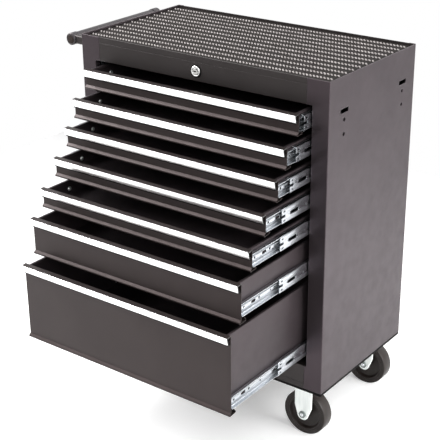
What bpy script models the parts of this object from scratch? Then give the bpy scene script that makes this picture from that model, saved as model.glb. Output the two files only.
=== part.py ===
"""A seven-drawer tool cart on four casters, with its drawers pulled out in steps.

Sizes are in metres. X runs along the front from left to right, Y from front to back, Z up.
Pieces are drawn from the front left bottom corner of the cabinet, and the whole stands on z = 0,
with the origin under the middle of its outer box.
"""

import math

import bmesh
import bpy
from mathutils import Matrix, Vector

# Cabinet
BODY_WIDTH = 0.616
BODY_DEPTH = 0.330
BODY_HEIGHT = 0.664
CABINET_SHEET = 0.001
FLOOR_SHEET = 0.0015
SHEET_BEND = 0.001
GAP = 0.0003
OVERRUN = 0.002

# Front frame
POST_WIDTH = 0.0367
POST_RETURN = 0.013
UPPER_EAR_WIDTH = 0.0495
LOWER_EAR_WIDTH = 0.0417
OPENING_BOTTOM = 0.054
OPENING_TOP_DROP = 0.0515
SKIRT_HEIGHT = 0.0125
SKIRT_TOP_DEPTH = 0.002
FLOOR_LIP_HEIGHT = 0.013
FLOOR_LIP_DEPTH = 0.005
FRAME_FLANGE = 0.015
REAR_RETURN = 0.015

# Slots and holes in the sides, for hooks and shelves
SIDE_SLOT_LENGTH = 0.028
SIDE_SLOT_HEIGHT = 0.009
SIDE_HOLE_RADIUS = 0.0038
SIDE_GROUP_FROM_FRONT = 0.055
SIDE_GROUP_FROM_BACK = 0.0495
SIDE_SLOT_DROP = 0.0685
SIDE_UPPER_HOLE_DROP = 0.0867
SIDE_LOWER_HOLE_DROP = 0.1153

# Top tray and its mat
TRAY_DEPTH = 0.008
TRAY_RIM_DROP = 0.0003
MAT_THICKNESS = 0.0025
MAT_MARGIN = 0.0015
RIDGE_COUNT = 13
RIDGE_WIDTH = 0.014
RIDGE_HEIGHT = 0.0012
RIDGE_SINK = 0.0006
FIRST_RIDGE = 0.0110
LAST_RIDGE_FROM_BACK = 0.0166
FIRST_RIDGE_START = 0.360
RIDGE_TURN = math.radians(0.6)

# Drawers, from the top down: how far each is pulled out, and how far its middle rails follow
DRAWER_OUT = (0.037, 0.075, 0.103, 0.142, 0.185, 0.219, 0.252)
MIDDLE_RAIL_SHARES = (0.67, 0.67, 0.67, 0.67, 0.54, 0.46, 0.40)
SHALLOW_COUNT = 5
FIRST_DRAWER_DROP = 0.008
LAST_DRAWER_RISE = 0.0105
STACK_PARTS = 1080
SHALLOW_PARTS = 110
DEEP_PARTS = 187
SHALLOW_SPACE = 0.012
DEEP_SPACE = 0.0115
SHALLOW_RAIL_RISE = 0.022
DEEP_RAIL_RISE = 0.028
DRAWER_SHEET = 0.001
DRAWER_BEND = 0.0008
DRAWER_DEPTH = 0.300
FRONT_CLEARANCE = 0.0053
PAN_TOP_DROP = 0.002
PAN_HEM = 0.006
PAN_FLOOR_DROP = 0.0006
PAN_BACK_INSET = 0.0005

# Drawer front: a lip that leans forward at its foot, and a hook behind it
LIP_REACH = 0.007
LIP_RISE = 0.0062
NOSE_HEIGHT = 0.0018
HOOK_DEPTH = 0.014
HOOK_CLIMB = 0.0015
HOOK_CURL = 0.006

# Handle trim
TRIM_HEIGHT = 0.022
TRIM_WALL = 0.0014
TRIM_TOP_REACH = 0.0072
TRIM_FOOT_REACH = 0.0024
TRIM_BACK_REACH = 0.0075
TRIM_INSET = 0.0013

# Ball slides
SLIDE_THICKNESS = 0.0127
RAIL_SHEET = 0.0012
RAIL_LENGTH = 0.300
RACE_GAP = 0.0007
MIDDLE_RAIL_HEIGHT = 0.031
MIDDLE_RAIL_SETBACK = 0.0006
MIDDLE_RAIL_DEPTH = 0.0085
MIDDLE_RAIL_FRONT = 0.002
OUTER_RAIL_FRONT = 0.0175
OUTER_RAIL_DEPTH = 0.0085
OUTER_RAIL_SINK = 0.0003
DRAWER_RAIL_FRONT = 0.002
DRAWER_RAIL_SINK = 0.0004
DRAWER_RAIL_CUT = 0.002
RAIL_SLOT_LENGTH = 0.014
RAIL_SLOT_HEIGHT = 0.006
RAIL_SLOT_FROM_FRONT = 0.034
RAIL_SLOT_STEP = 0.120
RAIL_SLOT_COUNT = 2
RAIL_HOLE_RADIUS = 0.0024
RAIL_HOLE_FROM_FRONT = 0.014

# Slide racks
UPRIGHT_SHEET = 0.0012
UPRIGHT_WIDTH = 0.020
UPRIGHT_FRONT = 0.018
UPRIGHT_REAR = 0.240
UPRIGHT_TOP_CLEARANCE = 0.050
UPRIGHT_SIDE_GAP = 0.0003

# Lock
LOCK_X = 0.306
LOCK_RISE = 0.0205
LOCK_BARREL_RADIUS = 0.0095
LOCK_BARREL_LENGTH = 0.021
LOCK_FACE_RADIUS = 0.0122
LOCK_FACE_THICKNESS = 0.0022
LOCK_FACE_CHAMFER = 0.0012
KEYWAY_WIDTH = 0.0016
KEYWAY_HEIGHT = 0.0075
KEYWAY_DEPTH = 0.0015
CAM_LENGTH = 0.018
CAM_WIDTH = 0.010
CAM_THICKNESS = 0.002
ROD_WIDTH = 0.016
ROD_THICKNESS = 0.0015
ROD_BEND = 0.003
ROD_FRONT_DROP = 0.020
ROD_REAR_DROP = 0.012
ROD_REAR_CLEARANCE = 0.0135
BAR_WIDTH = 0.020
BAR_DEPTH = 0.005
BAR_SHEET = 0.0012
BAR_BOTTOM = 0.070
BAR_TOP_CLEARANCE = 0.0165
BAR_HOOK_WIDTH = 0.012
BAR_HOOK_THICKNESS = 0.002
BAR_HOOK_CLEARANCE = 0.003
BAR_HOOK_DROP = 0.012

# Push handle on the left side
HANDLE_REACH = 0.050
HANDLE_DROP = 0.023
HANDLE_RADIUS = 0.0125
HANDLE_WALL = 0.0015
HANDLE_FRONT = 0.018
HANDLE_BACK = 0.310
BOSS_RADIUS = 0.0145
BOSS_LENGTH = 0.018
BOSS_CAP = 0.008
BOSS_CLEARANCE = 0.0002
ARM_HEIGHT = 0.019
ARM_WIDTH = 0.013
ARM_PLATE_THICKNESS = 0.003
ARM_PLATE_HEIGHT = 0.034
ARM_PLATE_WIDTH = 0.018
BOSS_SEGMENTS = 28

# Casters
WHEEL_RADIUS = 0.050
WHEEL_WIDTH = 0.030
TREAD_SHOULDER = 0.003
RIM_THICKNESS = 0.012
RIM_LEDGE = 0.0025
WEB_THICKNESS = 0.014
HUB_RADIUS = 0.012
HUB_WIDTH = 0.034
AXLE_RADIUS = 0.004
AXLE_HEAD_RADIUS = 0.007
AXLE_HEAD_LENGTH = 0.0045
WHEEL_DROP = 0.076
WHEEL_SEGMENTS = 28
CASTER_FROM_RIGHT = 0.053
CASTER_FROM_LEFT = 0.053
CASTER_FROM_FRONT = 0.038
CASTER_FROM_BACK = 0.038
PLATE_LENGTH = 0.092
PLATE_WIDTH = 0.064
PLATE_THICKNESS = 0.003
BOLT_SPACING_X = 0.075
BOLT_SPACING_Y = 0.045
BOLT_RADIUS = 0.003
BOLT_LENGTH = 0.009
NUT_RADIUS = 0.0062
NUT_LENGTH = 0.005
FORK_SHEET = 0.003
FORK_OPENING = 0.036
FORK_TOP_WIDTH = 0.042
FORK_FOOT_RADIUS = 0.012
FORK_SINK = 0.001
FOOT_STEPS = 8
SWIVEL_TRAIL = 0.032
RACEWAY_RADIUS = 0.020
RACEWAY_HEIGHT = 0.005
CROWN_RADIUS = 0.025
CROWN_HEIGHT = 0.008
CROWN_SHOULDER = 0.005
KING_PIN_RADIUS = 0.006
KING_PIN_HEAD_RADIUS = 0.010
KING_PIN_HEAD_HEIGHT = 0.003
CASTER_SEGMENTS = 24

# Brake pedals on the swivel casters
PEDAL_PIVOT_BACK = 0.040
PEDAL_PIVOT_DROP = 0.021
PEDAL_PIN_RADIUS = 0.0025
PEDAL_EAR_RADIUS = 0.0065
PEDAL_WIDTH = 0.034
PEDAL_THICKNESS = 0.003
PEDAL_RISE = 0.0025
PEDAL_FLAT = 0.022
PEDAL_REACH = 0.052
PEDAL_TIP_RISE = 0.011
PEDAL_SHOE_BACK = 0.012
PEDAL_SHOE_LENGTH = 0.006
PEDAL_SHOE_DROP = 0.005
PEDAL_SEGMENTS = 12

# Places that follow from the sizes above
CASTER_HEIGHT = WHEEL_DROP + WHEEL_RADIUS
DRAWER_COUNT = len(DRAWER_OUT)
TRAY_FLOOR_TOP = BODY_HEIGHT - TRAY_DEPTH
TRAY_FLOOR_BOTTOM = TRAY_FLOOR_TOP - CABINET_SHEET
INSIDE = CABINET_SHEET + GAP
BACK_PANEL_Y = BODY_DEPTH - 2 * CABINET_SHEET - GAP
SLIDE_INSET = POST_WIDTH + GAP
PAN_INSET = SLIDE_INSET + SLIDE_THICKNESS
FRONT_INSET = POST_WIDTH + FRONT_CLEARANCE
MIDDLE_RAIL_INSET = SLIDE_INSET + RAIL_SHEET + MIDDLE_RAIL_SETBACK
DRAWER_RAIL_HEIGHT = MIDDLE_RAIL_HEIGHT - 2 * RAIL_SHEET - 2 * RACE_GAP
OUTER_RAIL_HEIGHT = MIDDLE_RAIL_HEIGHT + 2 * RACE_GAP + 2 * RAIL_SHEET
OPENING_TOP = BODY_HEIGHT - OPENING_TOP_DROP
FIRST_DRAWER_TOP = OPENING_TOP - FIRST_DRAWER_DROP
STACK_HEIGHT = FIRST_DRAWER_TOP - OPENING_BOTTOM - LAST_DRAWER_RISE
SHALLOW_PITCH = STACK_HEIGHT * SHALLOW_PARTS / STACK_PARTS
DEEP_PITCH = STACK_HEIGHT * DEEP_PARTS / STACK_PARTS
SHALLOW_HEIGHT = SHALLOW_PITCH - SHALLOW_SPACE
DEEP_HEIGHT = DEEP_PITCH - DEEP_SPACE
BOTTOM_DRAWER_HEIGHT = STACK_HEIGHT - SHALLOW_COUNT * SHALLOW_PITCH - DEEP_PITCH
RIDGE_PITCH = (BODY_DEPTH - LAST_RIDGE_FROM_BACK - FIRST_RIDGE) / (RIDGE_COUNT - 1)
LOCK_Z = OPENING_TOP + LOCK_RISE
HANDLE_Z = BODY_HEIGHT - HANDLE_DROP
RIGHT_CASTER_X = BODY_WIDTH - CASTER_FROM_RIGHT
FRONT_CASTER_Y = CASTER_FROM_FRONT
REAR_CASTER_Y = BODY_DEPTH - CASTER_FROM_BACK
PLATE_BOTTOM = -GAP - PLATE_THICKNESS
RACEWAY_BOTTOM = PLATE_BOTTOM - RACEWAY_HEIGHT
CROWN_TOP = RACEWAY_BOTTOM - GAP
CROWN_BOTTOM = CROWN_TOP - CROWN_HEIGHT
LEFT_REACH = HANDLE_REACH + BOSS_RADIUS
FRONT_REACH = max(DRAWER_OUT) + max(LIP_REACH, TRIM_TOP_REACH)
CENTRE_X = (BODY_WIDTH - LEFT_REACH) / 2
CENTRE_Y = (BODY_DEPTH - FRONT_REACH) / 2

TURNS = {
    "X": Matrix.Rotation(math.pi / 2, 4, "Y"),
    "Y": Matrix.Rotation(-math.pi / 2, 4, "X"),
    "Z": Matrix.Identity(4),
}
FRAMES = {
    "YZ": Matrix(((0, 0, 1, 0), (1, 0, 0, 0), (0, 1, 0, 0), (0, 0, 0, 1))),
    "XZ": Matrix(((1, 0, 0, 0), (0, 0, -1, 0), (0, 1, 0, 0), (0, 0, 0, 1))),
    "XY": Matrix.Identity(4),
}


def sweep_axes(plane):
    """The numbers of a plane's two axes, and of the axis across it."""
    names = "XYZ"
    off_plane = next(name for name in names if name not in plane)
    return names.index(plane[0]), names.index(plane[1]), names.index(off_plane)


def clear_scene():
    for obj in list(bpy.data.objects):
        bpy.data.objects.remove(obj, do_unlink=True)


def new_collection(name):
    collection = bpy.data.collections.new(name)
    bpy.context.scene.collection.children.link(collection)
    return collection


clear_scene()
CART = new_collection("tool_cart")
CUTTERS = new_collection("cutters")
CENTRE = bpy.data.objects.new("cart_centre", None)
CENTRE.location = (-CENTRE_X, -CENTRE_Y, CASTER_HEIGHT)
CART.objects.link(CENTRE)


def material(name, colour, roughness, metallic=0.0):
    made = bpy.data.materials.new(name)
    made.use_nodes = True
    shader = made.node_tree.nodes["Principled BSDF"]
    shader.inputs["Base Color"].default_value = (*colour, 1.0)
    shader.inputs["Roughness"].default_value = roughness
    shader.inputs["Metallic"].default_value = metallic
    made.diffuse_color = (*colour, 1.0)
    return made


BLACK_PAINT = material("black_paint", (0.030, 0.027, 0.027), 0.45)
ALUMINIUM = material("aluminium_trim", (0.86, 0.86, 0.85), 0.30, 1.0)
ZINC = material("zinc_plate", (0.72, 0.74, 0.76), 0.32, 1.0)
MAT_RUBBER = material("mat_rubber", (0.20, 0.18, 0.17), 0.70)
WHEEL_RUBBER = material("wheel_rubber", (0.030, 0.022, 0.020), 0.55)
HANDLE_PAINT = material("handle_paint", (0.060, 0.058, 0.062), 0.40)
LOCK_CHROME = material("lock_chrome", (0.80, 0.80, 0.80), 0.20, 1.0)


def piece_from(name, bm, collection=None):
    """A new object that holds the mesh, in the cart's own coordinates."""
    mesh = bpy.data.meshes.new(name)
    bm.to_mesh(mesh)
    bm.free()
    obj = bpy.data.objects.new(name, mesh)
    (collection or CART).objects.link(obj)
    obj.parent = CENTRE
    return obj


def box(name, low, high):
    bm = bmesh.new()
    bmesh.ops.create_cube(bm, size=1.0)
    low, high = Vector(low), Vector(high)
    bmesh.ops.scale(bm, verts=bm.verts, vec=high - low)
    bmesh.ops.translate(bm, verts=bm.verts, vec=(low + high) / 2)
    return piece_from(name, bm)


def cylinder(name, radius, centre, length, axis, segments=CASTER_SEGMENTS):
    """A round bar around its centre point."""
    bm = bmesh.new()
    bmesh.ops.create_cone(
        bm, cap_ends=True, segments=segments, radius1=radius, radius2=radius, depth=length
    )
    bmesh.ops.transform(bm, verts=bm.verts, matrix=Matrix.Translation(centre) @ TURNS[axis])
    return piece_from(name, bm)


def turned(name, profile, centre, axis, segments, closed):
    """A profile of (radius, height) points, turned about the axis through the centre."""
    bm = bmesh.new()
    points = [bm.verts.new((radius, 0, height)) for radius, height in profile]
    for first, second in zip(points, points[1:]):
        bm.edges.new((first, second))
    if closed:
        bm.edges.new((points[-1], points[0]))
    obj = piece_from(name, bm)
    obj.location = centre
    obj.rotation_euler = TURNS[axis].to_euler()
    screw = obj.modifiers.new("turn", "SCREW")
    screw.steps = segments
    screw.render_steps = segments
    screw.use_merge_vertices = True
    screw.merge_threshold = 0.00001
    screw.use_smooth_shade = False
    return obj


def bent_sheet(name, path, plane, start, end, thickness, side, bend):
    """Sheet metal: an open path drawn in one plane, swept straight from start to end.

    With side 1 the thickness goes the way of the path's direction crossed with the sweep's,
    and with side -1 the other way.
    """
    first, second, along = sweep_axes(plane)
    bm = bmesh.new()
    corners = []
    for point in path:
        place = [0.0, 0.0, 0.0]
        place[first], place[second], place[along] = point[0], point[1], start
        corners.append(bm.verts.new(place))
    edges = [bm.edges.new(pair) for pair in zip(corners, corners[1:])]
    swept = bmesh.ops.extrude_edge_only(bm, edges=edges)["geom"]
    step = [0.0, 0.0, 0.0]
    step[along] = end - start
    moved = [item for item in swept if isinstance(item, bmesh.types.BMVert)]
    bmesh.ops.translate(bm, verts=moved, vec=step)
    bm.normal_update()
    bm.faces.ensure_lookup_table()
    wanted = (corners[1].co - corners[0].co).cross(Vector(step))
    face = edges[0].link_faces[0]
    if face.normal.dot(wanted) < 0:
        bmesh.ops.reverse_faces(bm, faces=bm.faces)
    obj = piece_from(name, bm)
    if bend:
        rounded = obj.modifiers.new("bends", "BEVEL")
        rounded.width = bend
        rounded.segments = 2
        rounded.limit_method = "ANGLE"
        rounded.angle_limit = math.radians(15)
    solid = obj.modifiers.new("thickness", "SOLIDIFY")
    solid.thickness = thickness
    solid.offset = side
    solid.use_even_offset = True
    return obj


def flat_plate(name, outline, plane, start, end):
    """A closed outline in one plane, from start to end across it."""
    curve = bpy.data.curves.new(name, "CURVE")
    curve.dimensions = "2D"
    curve.fill_mode = "BOTH"
    curve.extrude = (end - start) / 2
    spline = curve.splines.new("POLY")
    spline.points.add(len(outline) - 1)
    for point, place in zip(spline.points, outline):
        point.co = (place[0], place[1], 0.0, 1.0)
    spline.use_cyclic_u = True
    drawn = bpy.data.objects.new(name + "_outline", curve)
    CART.objects.link(drawn)
    graph = bpy.context.evaluated_depsgraph_get()
    mesh = bpy.data.meshes.new_from_object(drawn.evaluated_get(graph))
    bm = bmesh.new()
    bm.from_mesh(mesh)
    bpy.data.objects.remove(drawn, do_unlink=True)
    bpy.data.meshes.remove(mesh)
    bmesh.ops.remove_doubles(bm, verts=bm.verts, dist=0.000001)
    bmesh.ops.recalc_face_normals(bm, faces=bm.faces)
    bmesh.ops.transform(bm, verts=bm.verts, matrix=FRAMES[plane])
    middle = [0.0, 0.0, 0.0]
    middle[sweep_axes(plane)[-1]] = (start + end) / 2
    bmesh.ops.translate(bm, verts=bm.verts, vec=middle)
    return piece_from(name, bm)


def arc(centre, radius, start, end, steps):
    """Points on an arc, with angles in degrees from the first axis of its plane."""
    points = []
    for step in range(steps + 1):
        angle = math.radians(start + (end - start) * step / steps)
        points.append((centre[0] + radius * math.cos(angle), centre[1] + radius * math.sin(angle)))
    return points


def combine(target, operation, pieces):
    """Joins the pieces to the target with UNION, or cuts them from it with DIFFERENCE."""
    group = bpy.data.collections.new(target.name + "_" + operation.lower())
    CUTTERS.children.link(group)
    for piece in pieces:
        for owner in list(piece.users_collection):
            owner.objects.unlink(piece)
        group.objects.link(piece)
        piece.hide_render = True
        piece.display_type = "WIRE"
    boolean = target.modifiers.new(operation.lower(), "BOOLEAN")
    boolean.operation = operation
    boolean.operand_type = "COLLECTION"
    boolean.collection = group
    boolean.solver = "EXACT"


def set_origin(obj, point):
    """Puts the object's origin on a point, such as one of its joint's axis."""
    obj.data.transform(Matrix.Translation(-Vector(point)))
    obj.location = point


def finish(obj, finish_material):
    obj.data.materials.clear()
    obj.data.materials.append(finish_material)
    return obj


def across(hand, inset):
    """The x of a plane that lies inset from the left side (hand -1) or the right side (hand 1)."""
    return BODY_WIDTH - inset if hand > 0 else inset


def between(hand, inset, other_inset):
    """The two x values in rising order."""
    return sorted((across(hand, inset), across(hand, other_inset)))


def side_box(name, hand, insets, ys, zs):
    low_x, high_x = between(hand, *insets)
    return box(name, (low_x, ys[0], zs[0]), (high_x, ys[1], zs[1]))


def side_panel(name, hand):
    """One side of the cabinet with its front post, bent from one sheet."""
    path = [
        (across(hand, REAR_RETURN), BODY_DEPTH),
        (across(hand, 0), BODY_DEPTH),
        (across(hand, 0), 0),
        (across(hand, UPPER_EAR_WIDTH), 0),
    ]
    panel = bent_sheet(name, path, "XY", 0, BODY_HEIGHT, CABINET_SHEET, hand, SHEET_BEND)
    front = (-OVERRUN, CABINET_SHEET + OVERRUN)
    past_ear = UPPER_EAR_WIDTH + OVERRUN
    cuts = [
        side_box(
            name + "_opening", hand, (POST_WIDTH, past_ear), front, (OPENING_BOTTOM, OPENING_TOP)
        ),
        side_box(
            name + "_foot", hand, (LOWER_EAR_WIDTH, past_ear), front, (-OVERRUN, OPENING_BOTTOM)
        ),
    ]
    skin = (-OVERRUN, CABINET_SHEET + OVERRUN)
    skin_middle = across(hand, CABINET_SHEET / 2)
    for number, y in enumerate((SIDE_GROUP_FROM_FRONT, BODY_DEPTH - SIDE_GROUP_FROM_BACK)):
        z = BODY_HEIGHT - SIDE_SLOT_DROP
        cuts.append(
            side_box(
                f"{name}_slot_{number}",
                hand,
                skin,
                (y - SIDE_SLOT_LENGTH / 2, y + SIDE_SLOT_LENGTH / 2),
                (z - SIDE_SLOT_HEIGHT / 2, z + SIDE_SLOT_HEIGHT / 2),
            )
        )
        for drop in (SIDE_UPPER_HOLE_DROP, SIDE_LOWER_HOLE_DROP):
            hole_centre = (skin_middle, y, BODY_HEIGHT - drop)
            length = CABINET_SHEET + 2 * OVERRUN
            cuts.append(cylinder(f"{name}_hole", SIDE_HOLE_RADIUS, hole_centre, length, "X", 12))
    combine(panel, "DIFFERENCE", cuts)
    post_return = side_box(
        name + "_return",
        hand,
        (POST_WIDTH - CABINET_SHEET, POST_WIDTH),
        (CABINET_SHEET / 2, POST_RETURN),
        (OPENING_BOTTOM, OPENING_TOP),
    )
    combine(panel, "UNION", [post_return])
    return finish(panel, BLACK_PAINT)


def back_panel():
    low = (INSIDE, BACK_PANEL_Y - CABINET_SHEET, GAP)
    high = (BODY_WIDTH - INSIDE, BACK_PANEL_Y, TRAY_FLOOR_BOTTOM - GAP)
    return finish(box("back_panel", low, high), BLACK_PAINT)


def floor_panel():
    rear = BACK_PANEL_Y - CABINET_SHEET - GAP
    floor = box("floor_panel", (INSIDE, INSIDE, 0), (BODY_WIDTH - INSIDE, rear, FLOOR_SHEET))
    ear = LOWER_EAR_WIDTH + GAP
    lip = bent_sheet(
        "floor_lip",
        [(0, FLOOR_LIP_HEIGHT), (0, 0), (FLOOR_LIP_DEPTH, 0)],
        "YZ",
        ear,
        BODY_WIDTH - ear,
        CABINET_SHEET,
        -1,
        0,
    )
    combine(floor, "UNION", [lip])
    return finish(floor, BLACK_PAINT)


def bottom_rail():
    ear = LOWER_EAR_WIDTH + GAP
    path = [(0, FLOOR_LIP_HEIGHT + GAP), (0, OPENING_BOTTOM), (FRAME_FLANGE, OPENING_BOTTOM)]
    rail = bent_sheet(
        "bottom_rail", path, "YZ", ear, BODY_WIDTH - ear, CABINET_SHEET, 1, SHEET_BEND
    )
    return finish(rail, BLACK_PAINT)


def apron():
    ear = UPPER_EAR_WIDTH + GAP
    top = BODY_HEIGHT - SKIRT_HEIGHT - GAP
    path = [(FRAME_FLANGE, OPENING_TOP), (0, OPENING_TOP), (0, top)]
    panel = bent_sheet("apron", path, "YZ", ear, BODY_WIDTH - ear, CABINET_SHEET, 1, SHEET_BEND)
    hole = cylinder(
        "lock_hole",
        LOCK_BARREL_RADIUS + GAP,
        (LOCK_X, CABINET_SHEET / 2, LOCK_Z),
        CABINET_SHEET + 2 * OVERRUN,
        "Y",
    )
    combine(panel, "DIFFERENCE", [hole])
    return finish(panel, BLACK_PAINT)


def top_tray():
    """The top panel: a shallow tray between the sides, with a skirt on the front."""
    front = CABINET_SHEET + GAP
    rear = BODY_DEPTH - CABINET_SHEET - GAP
    rim = BODY_HEIGHT - TRAY_RIM_DROP
    path = [
        (front, rim),
        (front, TRAY_FLOOR_BOTTOM),
        (rear, TRAY_FLOOR_BOTTOM),
        (rear, rim),
    ]
    tray = bent_sheet(
        "top_tray", path, "YZ", INSIDE, BODY_WIDTH - INSIDE, CABINET_SHEET, -1, SHEET_BEND
    )
    ear = UPPER_EAR_WIDTH + GAP
    skirt_path = [
        (0, BODY_HEIGHT - SKIRT_HEIGHT),
        (0, BODY_HEIGHT),
        (SKIRT_TOP_DEPTH, BODY_HEIGHT),
    ]
    skirt = bent_sheet("skirt", skirt_path, "YZ", ear, BODY_WIDTH - ear, CABINET_SHEET, 1, 0)
    combine(tray, "UNION", [skirt])
    return finish(tray, BLACK_PAINT)


def tray_mat():
    """The mat with its rows of ribs, which run almost along the cart."""
    margin = INSIDE + MAT_MARGIN
    front = 2 * CABINET_SHEET + GAP + MAT_MARGIN
    rear = BODY_DEPTH - 2 * CABINET_SHEET - GAP - MAT_MARGIN
    bottom = TRAY_FLOOR_TOP + GAP
    top = bottom + MAT_THICKNESS
    mat = box("tray_mat", (margin, front, bottom), (BODY_WIDTH - margin, rear, top))
    middle = BODY_WIDTH / 2
    ribs = []
    for number in range(RIDGE_COUNT):
        start = FIRST_RIDGE_START if number == 0 else margin + MAT_MARGIN
        end = BODY_WIDTH - margin - MAT_MARGIN
        y = FIRST_RIDGE + number * RIDGE_PITCH
        rib = box(
            f"rib_{number}",
            (start - middle, -RIDGE_WIDTH / 2, top - RIDGE_SINK),
            (end - middle, RIDGE_WIDTH / 2, top + RIDGE_HEIGHT),
        )
        rib.data.transform(
            Matrix.Translation((middle, y, 0)) @ Matrix.Rotation(RIDGE_TURN, 4, "Z")
        )
        ribs.append(rib)
    combine(mat, "UNION", ribs)
    return finish(mat, MAT_RUBBER)


def drawer_top(index):
    shallow_steps = min(index, SHALLOW_COUNT)
    deep_steps = index - shallow_steps
    return FIRST_DRAWER_TOP - shallow_steps * SHALLOW_PITCH - deep_steps * DEEP_PITCH


def drawer_height(index):
    if index < SHALLOW_COUNT:
        return SHALLOW_HEIGHT
    return BOTTOM_DRAWER_HEIGHT if index == DRAWER_COUNT - 1 else DEEP_HEIGHT


def rail_rise(index):
    return SHALLOW_RAIL_RISE if index < SHALLOW_COUNT else DEEP_RAIL_RISE


def rail_z(index):
    """The height of the middle of a drawer's slides."""
    return drawer_top(index) - drawer_height(index) + rail_rise(index)


def pan_bottom(index):
    return rail_z(index) - DRAWER_RAIL_HEIGHT / 2 - PAN_FLOOR_DROP


def rail_section(hand, web_inset, depth, height, z):
    """The C of a rail: its flanges reach depth from the web, towards the cart's middle."""
    return [
        (across(hand, web_inset + depth), z + height / 2),
        (across(hand, web_inset), z + height / 2),
        (across(hand, web_inset), z - height / 2),
        (across(hand, web_inset + depth), z - height / 2),
    ]


def drawer_front(name, face, bottom, top, hook_top):
    """The bent front sheet. The path is its inner surface, and its thickness goes outwards."""
    inner = face + DRAWER_SHEET
    back = inner + HOOK_DEPTH
    sheet_bottom = bottom + DRAWER_SHEET
    path = [
        (inner, top - TRIM_WALL - GAP),
        (inner, bottom + LIP_RISE),
        (inner - LIP_REACH, sheet_bottom + NOSE_HEIGHT),
        (inner - LIP_REACH, sheet_bottom),
        (back, sheet_bottom + HOOK_CLIMB),
        (back - HOOK_CURL, hook_top - DRAWER_SHEET),
    ]
    return bent_sheet(
        name,
        path,
        "YZ",
        FRONT_INSET,
        BODY_WIDTH - FRONT_INSET,
        DRAWER_SHEET,
        1,
        DRAWER_BEND / 2,
    )


def drawer(index):
    """A drawer: front sheet, pan and the inner rails of its two slides."""
    name = f"drawer_{index + 1}"
    face = -DRAWER_OUT[index]
    top = drawer_top(index)
    bottom = top - drawer_height(index)
    z = rail_z(index)
    hook_top = z - MIDDLE_RAIL_HEIGHT / 2 - GAP
    body = drawer_front(name, face, bottom, top, hook_top)
    floor = pan_bottom(index)
    rim = top - PAN_TOP_DROP
    start = face + DRAWER_SHEET / 2
    rear = face + DRAWER_DEPTH
    left = across(-1, PAN_INSET)
    right = across(1, PAN_INSET)
    pan_path = [
        (left + PAN_HEM, rim),
        (left, rim),
        (left, floor),
        (right, floor),
        (right, rim),
        (right - PAN_HEM, rim),
    ]
    pan = bent_sheet(name + "_pan", pan_path, "XZ", start, rear, DRAWER_SHEET, 1, DRAWER_BEND)
    wall_rear = rear - PAN_BACK_INSET
    wall = box(
        name + "_back",
        (left + DRAWER_SHEET / 2, wall_rear - DRAWER_SHEET, floor + DRAWER_SHEET / 2),
        (right - DRAWER_SHEET / 2, wall_rear, rim - DRAWER_SHEET / 2),
    )
    parts = [pan, wall]
    for hand in (-1, 1):
        web = PAN_INSET + DRAWER_RAIL_SINK
        tip = MIDDLE_RAIL_INSET + RAIL_SHEET + RACE_GAP
        section = rail_section(hand, web, tip - web, DRAWER_RAIL_HEIGHT, z)
        parts.append(
            bent_sheet(
                f"{name}_rail_{hand}",
                section,
                "XZ",
                face + DRAWER_RAIL_FRONT,
                rear - DRAWER_RAIL_CUT,
                RAIL_SHEET,
                hand,
                0,
            )
        )
    combine(body, "UNION", parts)
    set_origin(body, (BODY_WIDTH / 2, face, bottom))
    return finish(body, BLACK_PAINT)


def drawer_trim(index):
    """The bright handle along the top of a drawer front, open behind and at its ends."""
    face = -DRAWER_OUT[index]
    top = drawer_top(index)
    foot = top - TRIM_HEIGHT
    path = [
        (face - GAP, foot),
        (face - TRIM_FOOT_REACH, foot),
        (face - TRIM_TOP_REACH, top),
        (face + TRIM_BACK_REACH, top),
    ]
    inset = FRONT_INSET + TRIM_INSET
    trim = bent_sheet(
        f"drawer_{index + 1}_trim", path, "YZ", inset, BODY_WIDTH - inset, TRIM_WALL, 1, 0
    )
    set_origin(trim, (BODY_WIDTH / 2, face, top))
    return finish(trim, ALUMINIUM)


def middle_rail(index, hand):
    """The rail of a slide that runs between the cabinet's rail and the drawer's."""
    side = "right" if hand > 0 else "left"
    name = f"middle_rail_{index + 1}_{side}"
    z = rail_z(index)
    front = MIDDLE_RAIL_FRONT - DRAWER_OUT[index] * MIDDLE_RAIL_SHARES[index]
    section = rail_section(hand, MIDDLE_RAIL_INSET, MIDDLE_RAIL_DEPTH, MIDDLE_RAIL_HEIGHT, z)
    rail = bent_sheet(
        name, section, "XZ", front, front + RAIL_LENGTH, RAIL_SHEET, -hand, SHEET_BEND
    )
    web = across(hand, MIDDLE_RAIL_INSET + RAIL_SHEET / 2)
    through = RAIL_SHEET + 2 * OVERRUN
    cuts = [
        cylinder(
            name + "_hole", RAIL_HOLE_RADIUS, (web, front + RAIL_HOLE_FROM_FRONT, z), through, "X", 10
        )
    ]
    for number in range(RAIL_SLOT_COUNT):
        y = front + RAIL_SLOT_FROM_FRONT + number * RAIL_SLOT_STEP
        cuts.append(
            box(
                f"{name}_slot_{number}",
                (web - through / 2, y - RAIL_SLOT_LENGTH / 2, z - RAIL_SLOT_HEIGHT / 2),
                (web + through / 2, y + RAIL_SLOT_LENGTH / 2, z + RAIL_SLOT_HEIGHT / 2),
            )
        )
    combine(rail, "DIFFERENCE", cuts)
    set_origin(rail, (web, front, z))
    return finish(rail, ZINC)


def upright(name, hand, y):
    """A post of a slide rack: a U that opens to the back."""
    inner = across(hand, SLIDE_INSET)
    outer = across(hand, CABINET_SHEET + UPRIGHT_SIDE_GAP)
    path = [(inner, y + UPRIGHT_WIDTH), (inner, y), (outer, y), (outer, y + UPRIGHT_WIDTH)]
    top = BODY_HEIGHT - UPRIGHT_TOP_CLEARANCE
    return bent_sheet(name, path, "XY", FLOOR_SHEET + GAP, top, UPRIGHT_SHEET, -hand, SHEET_BEND)


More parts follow.
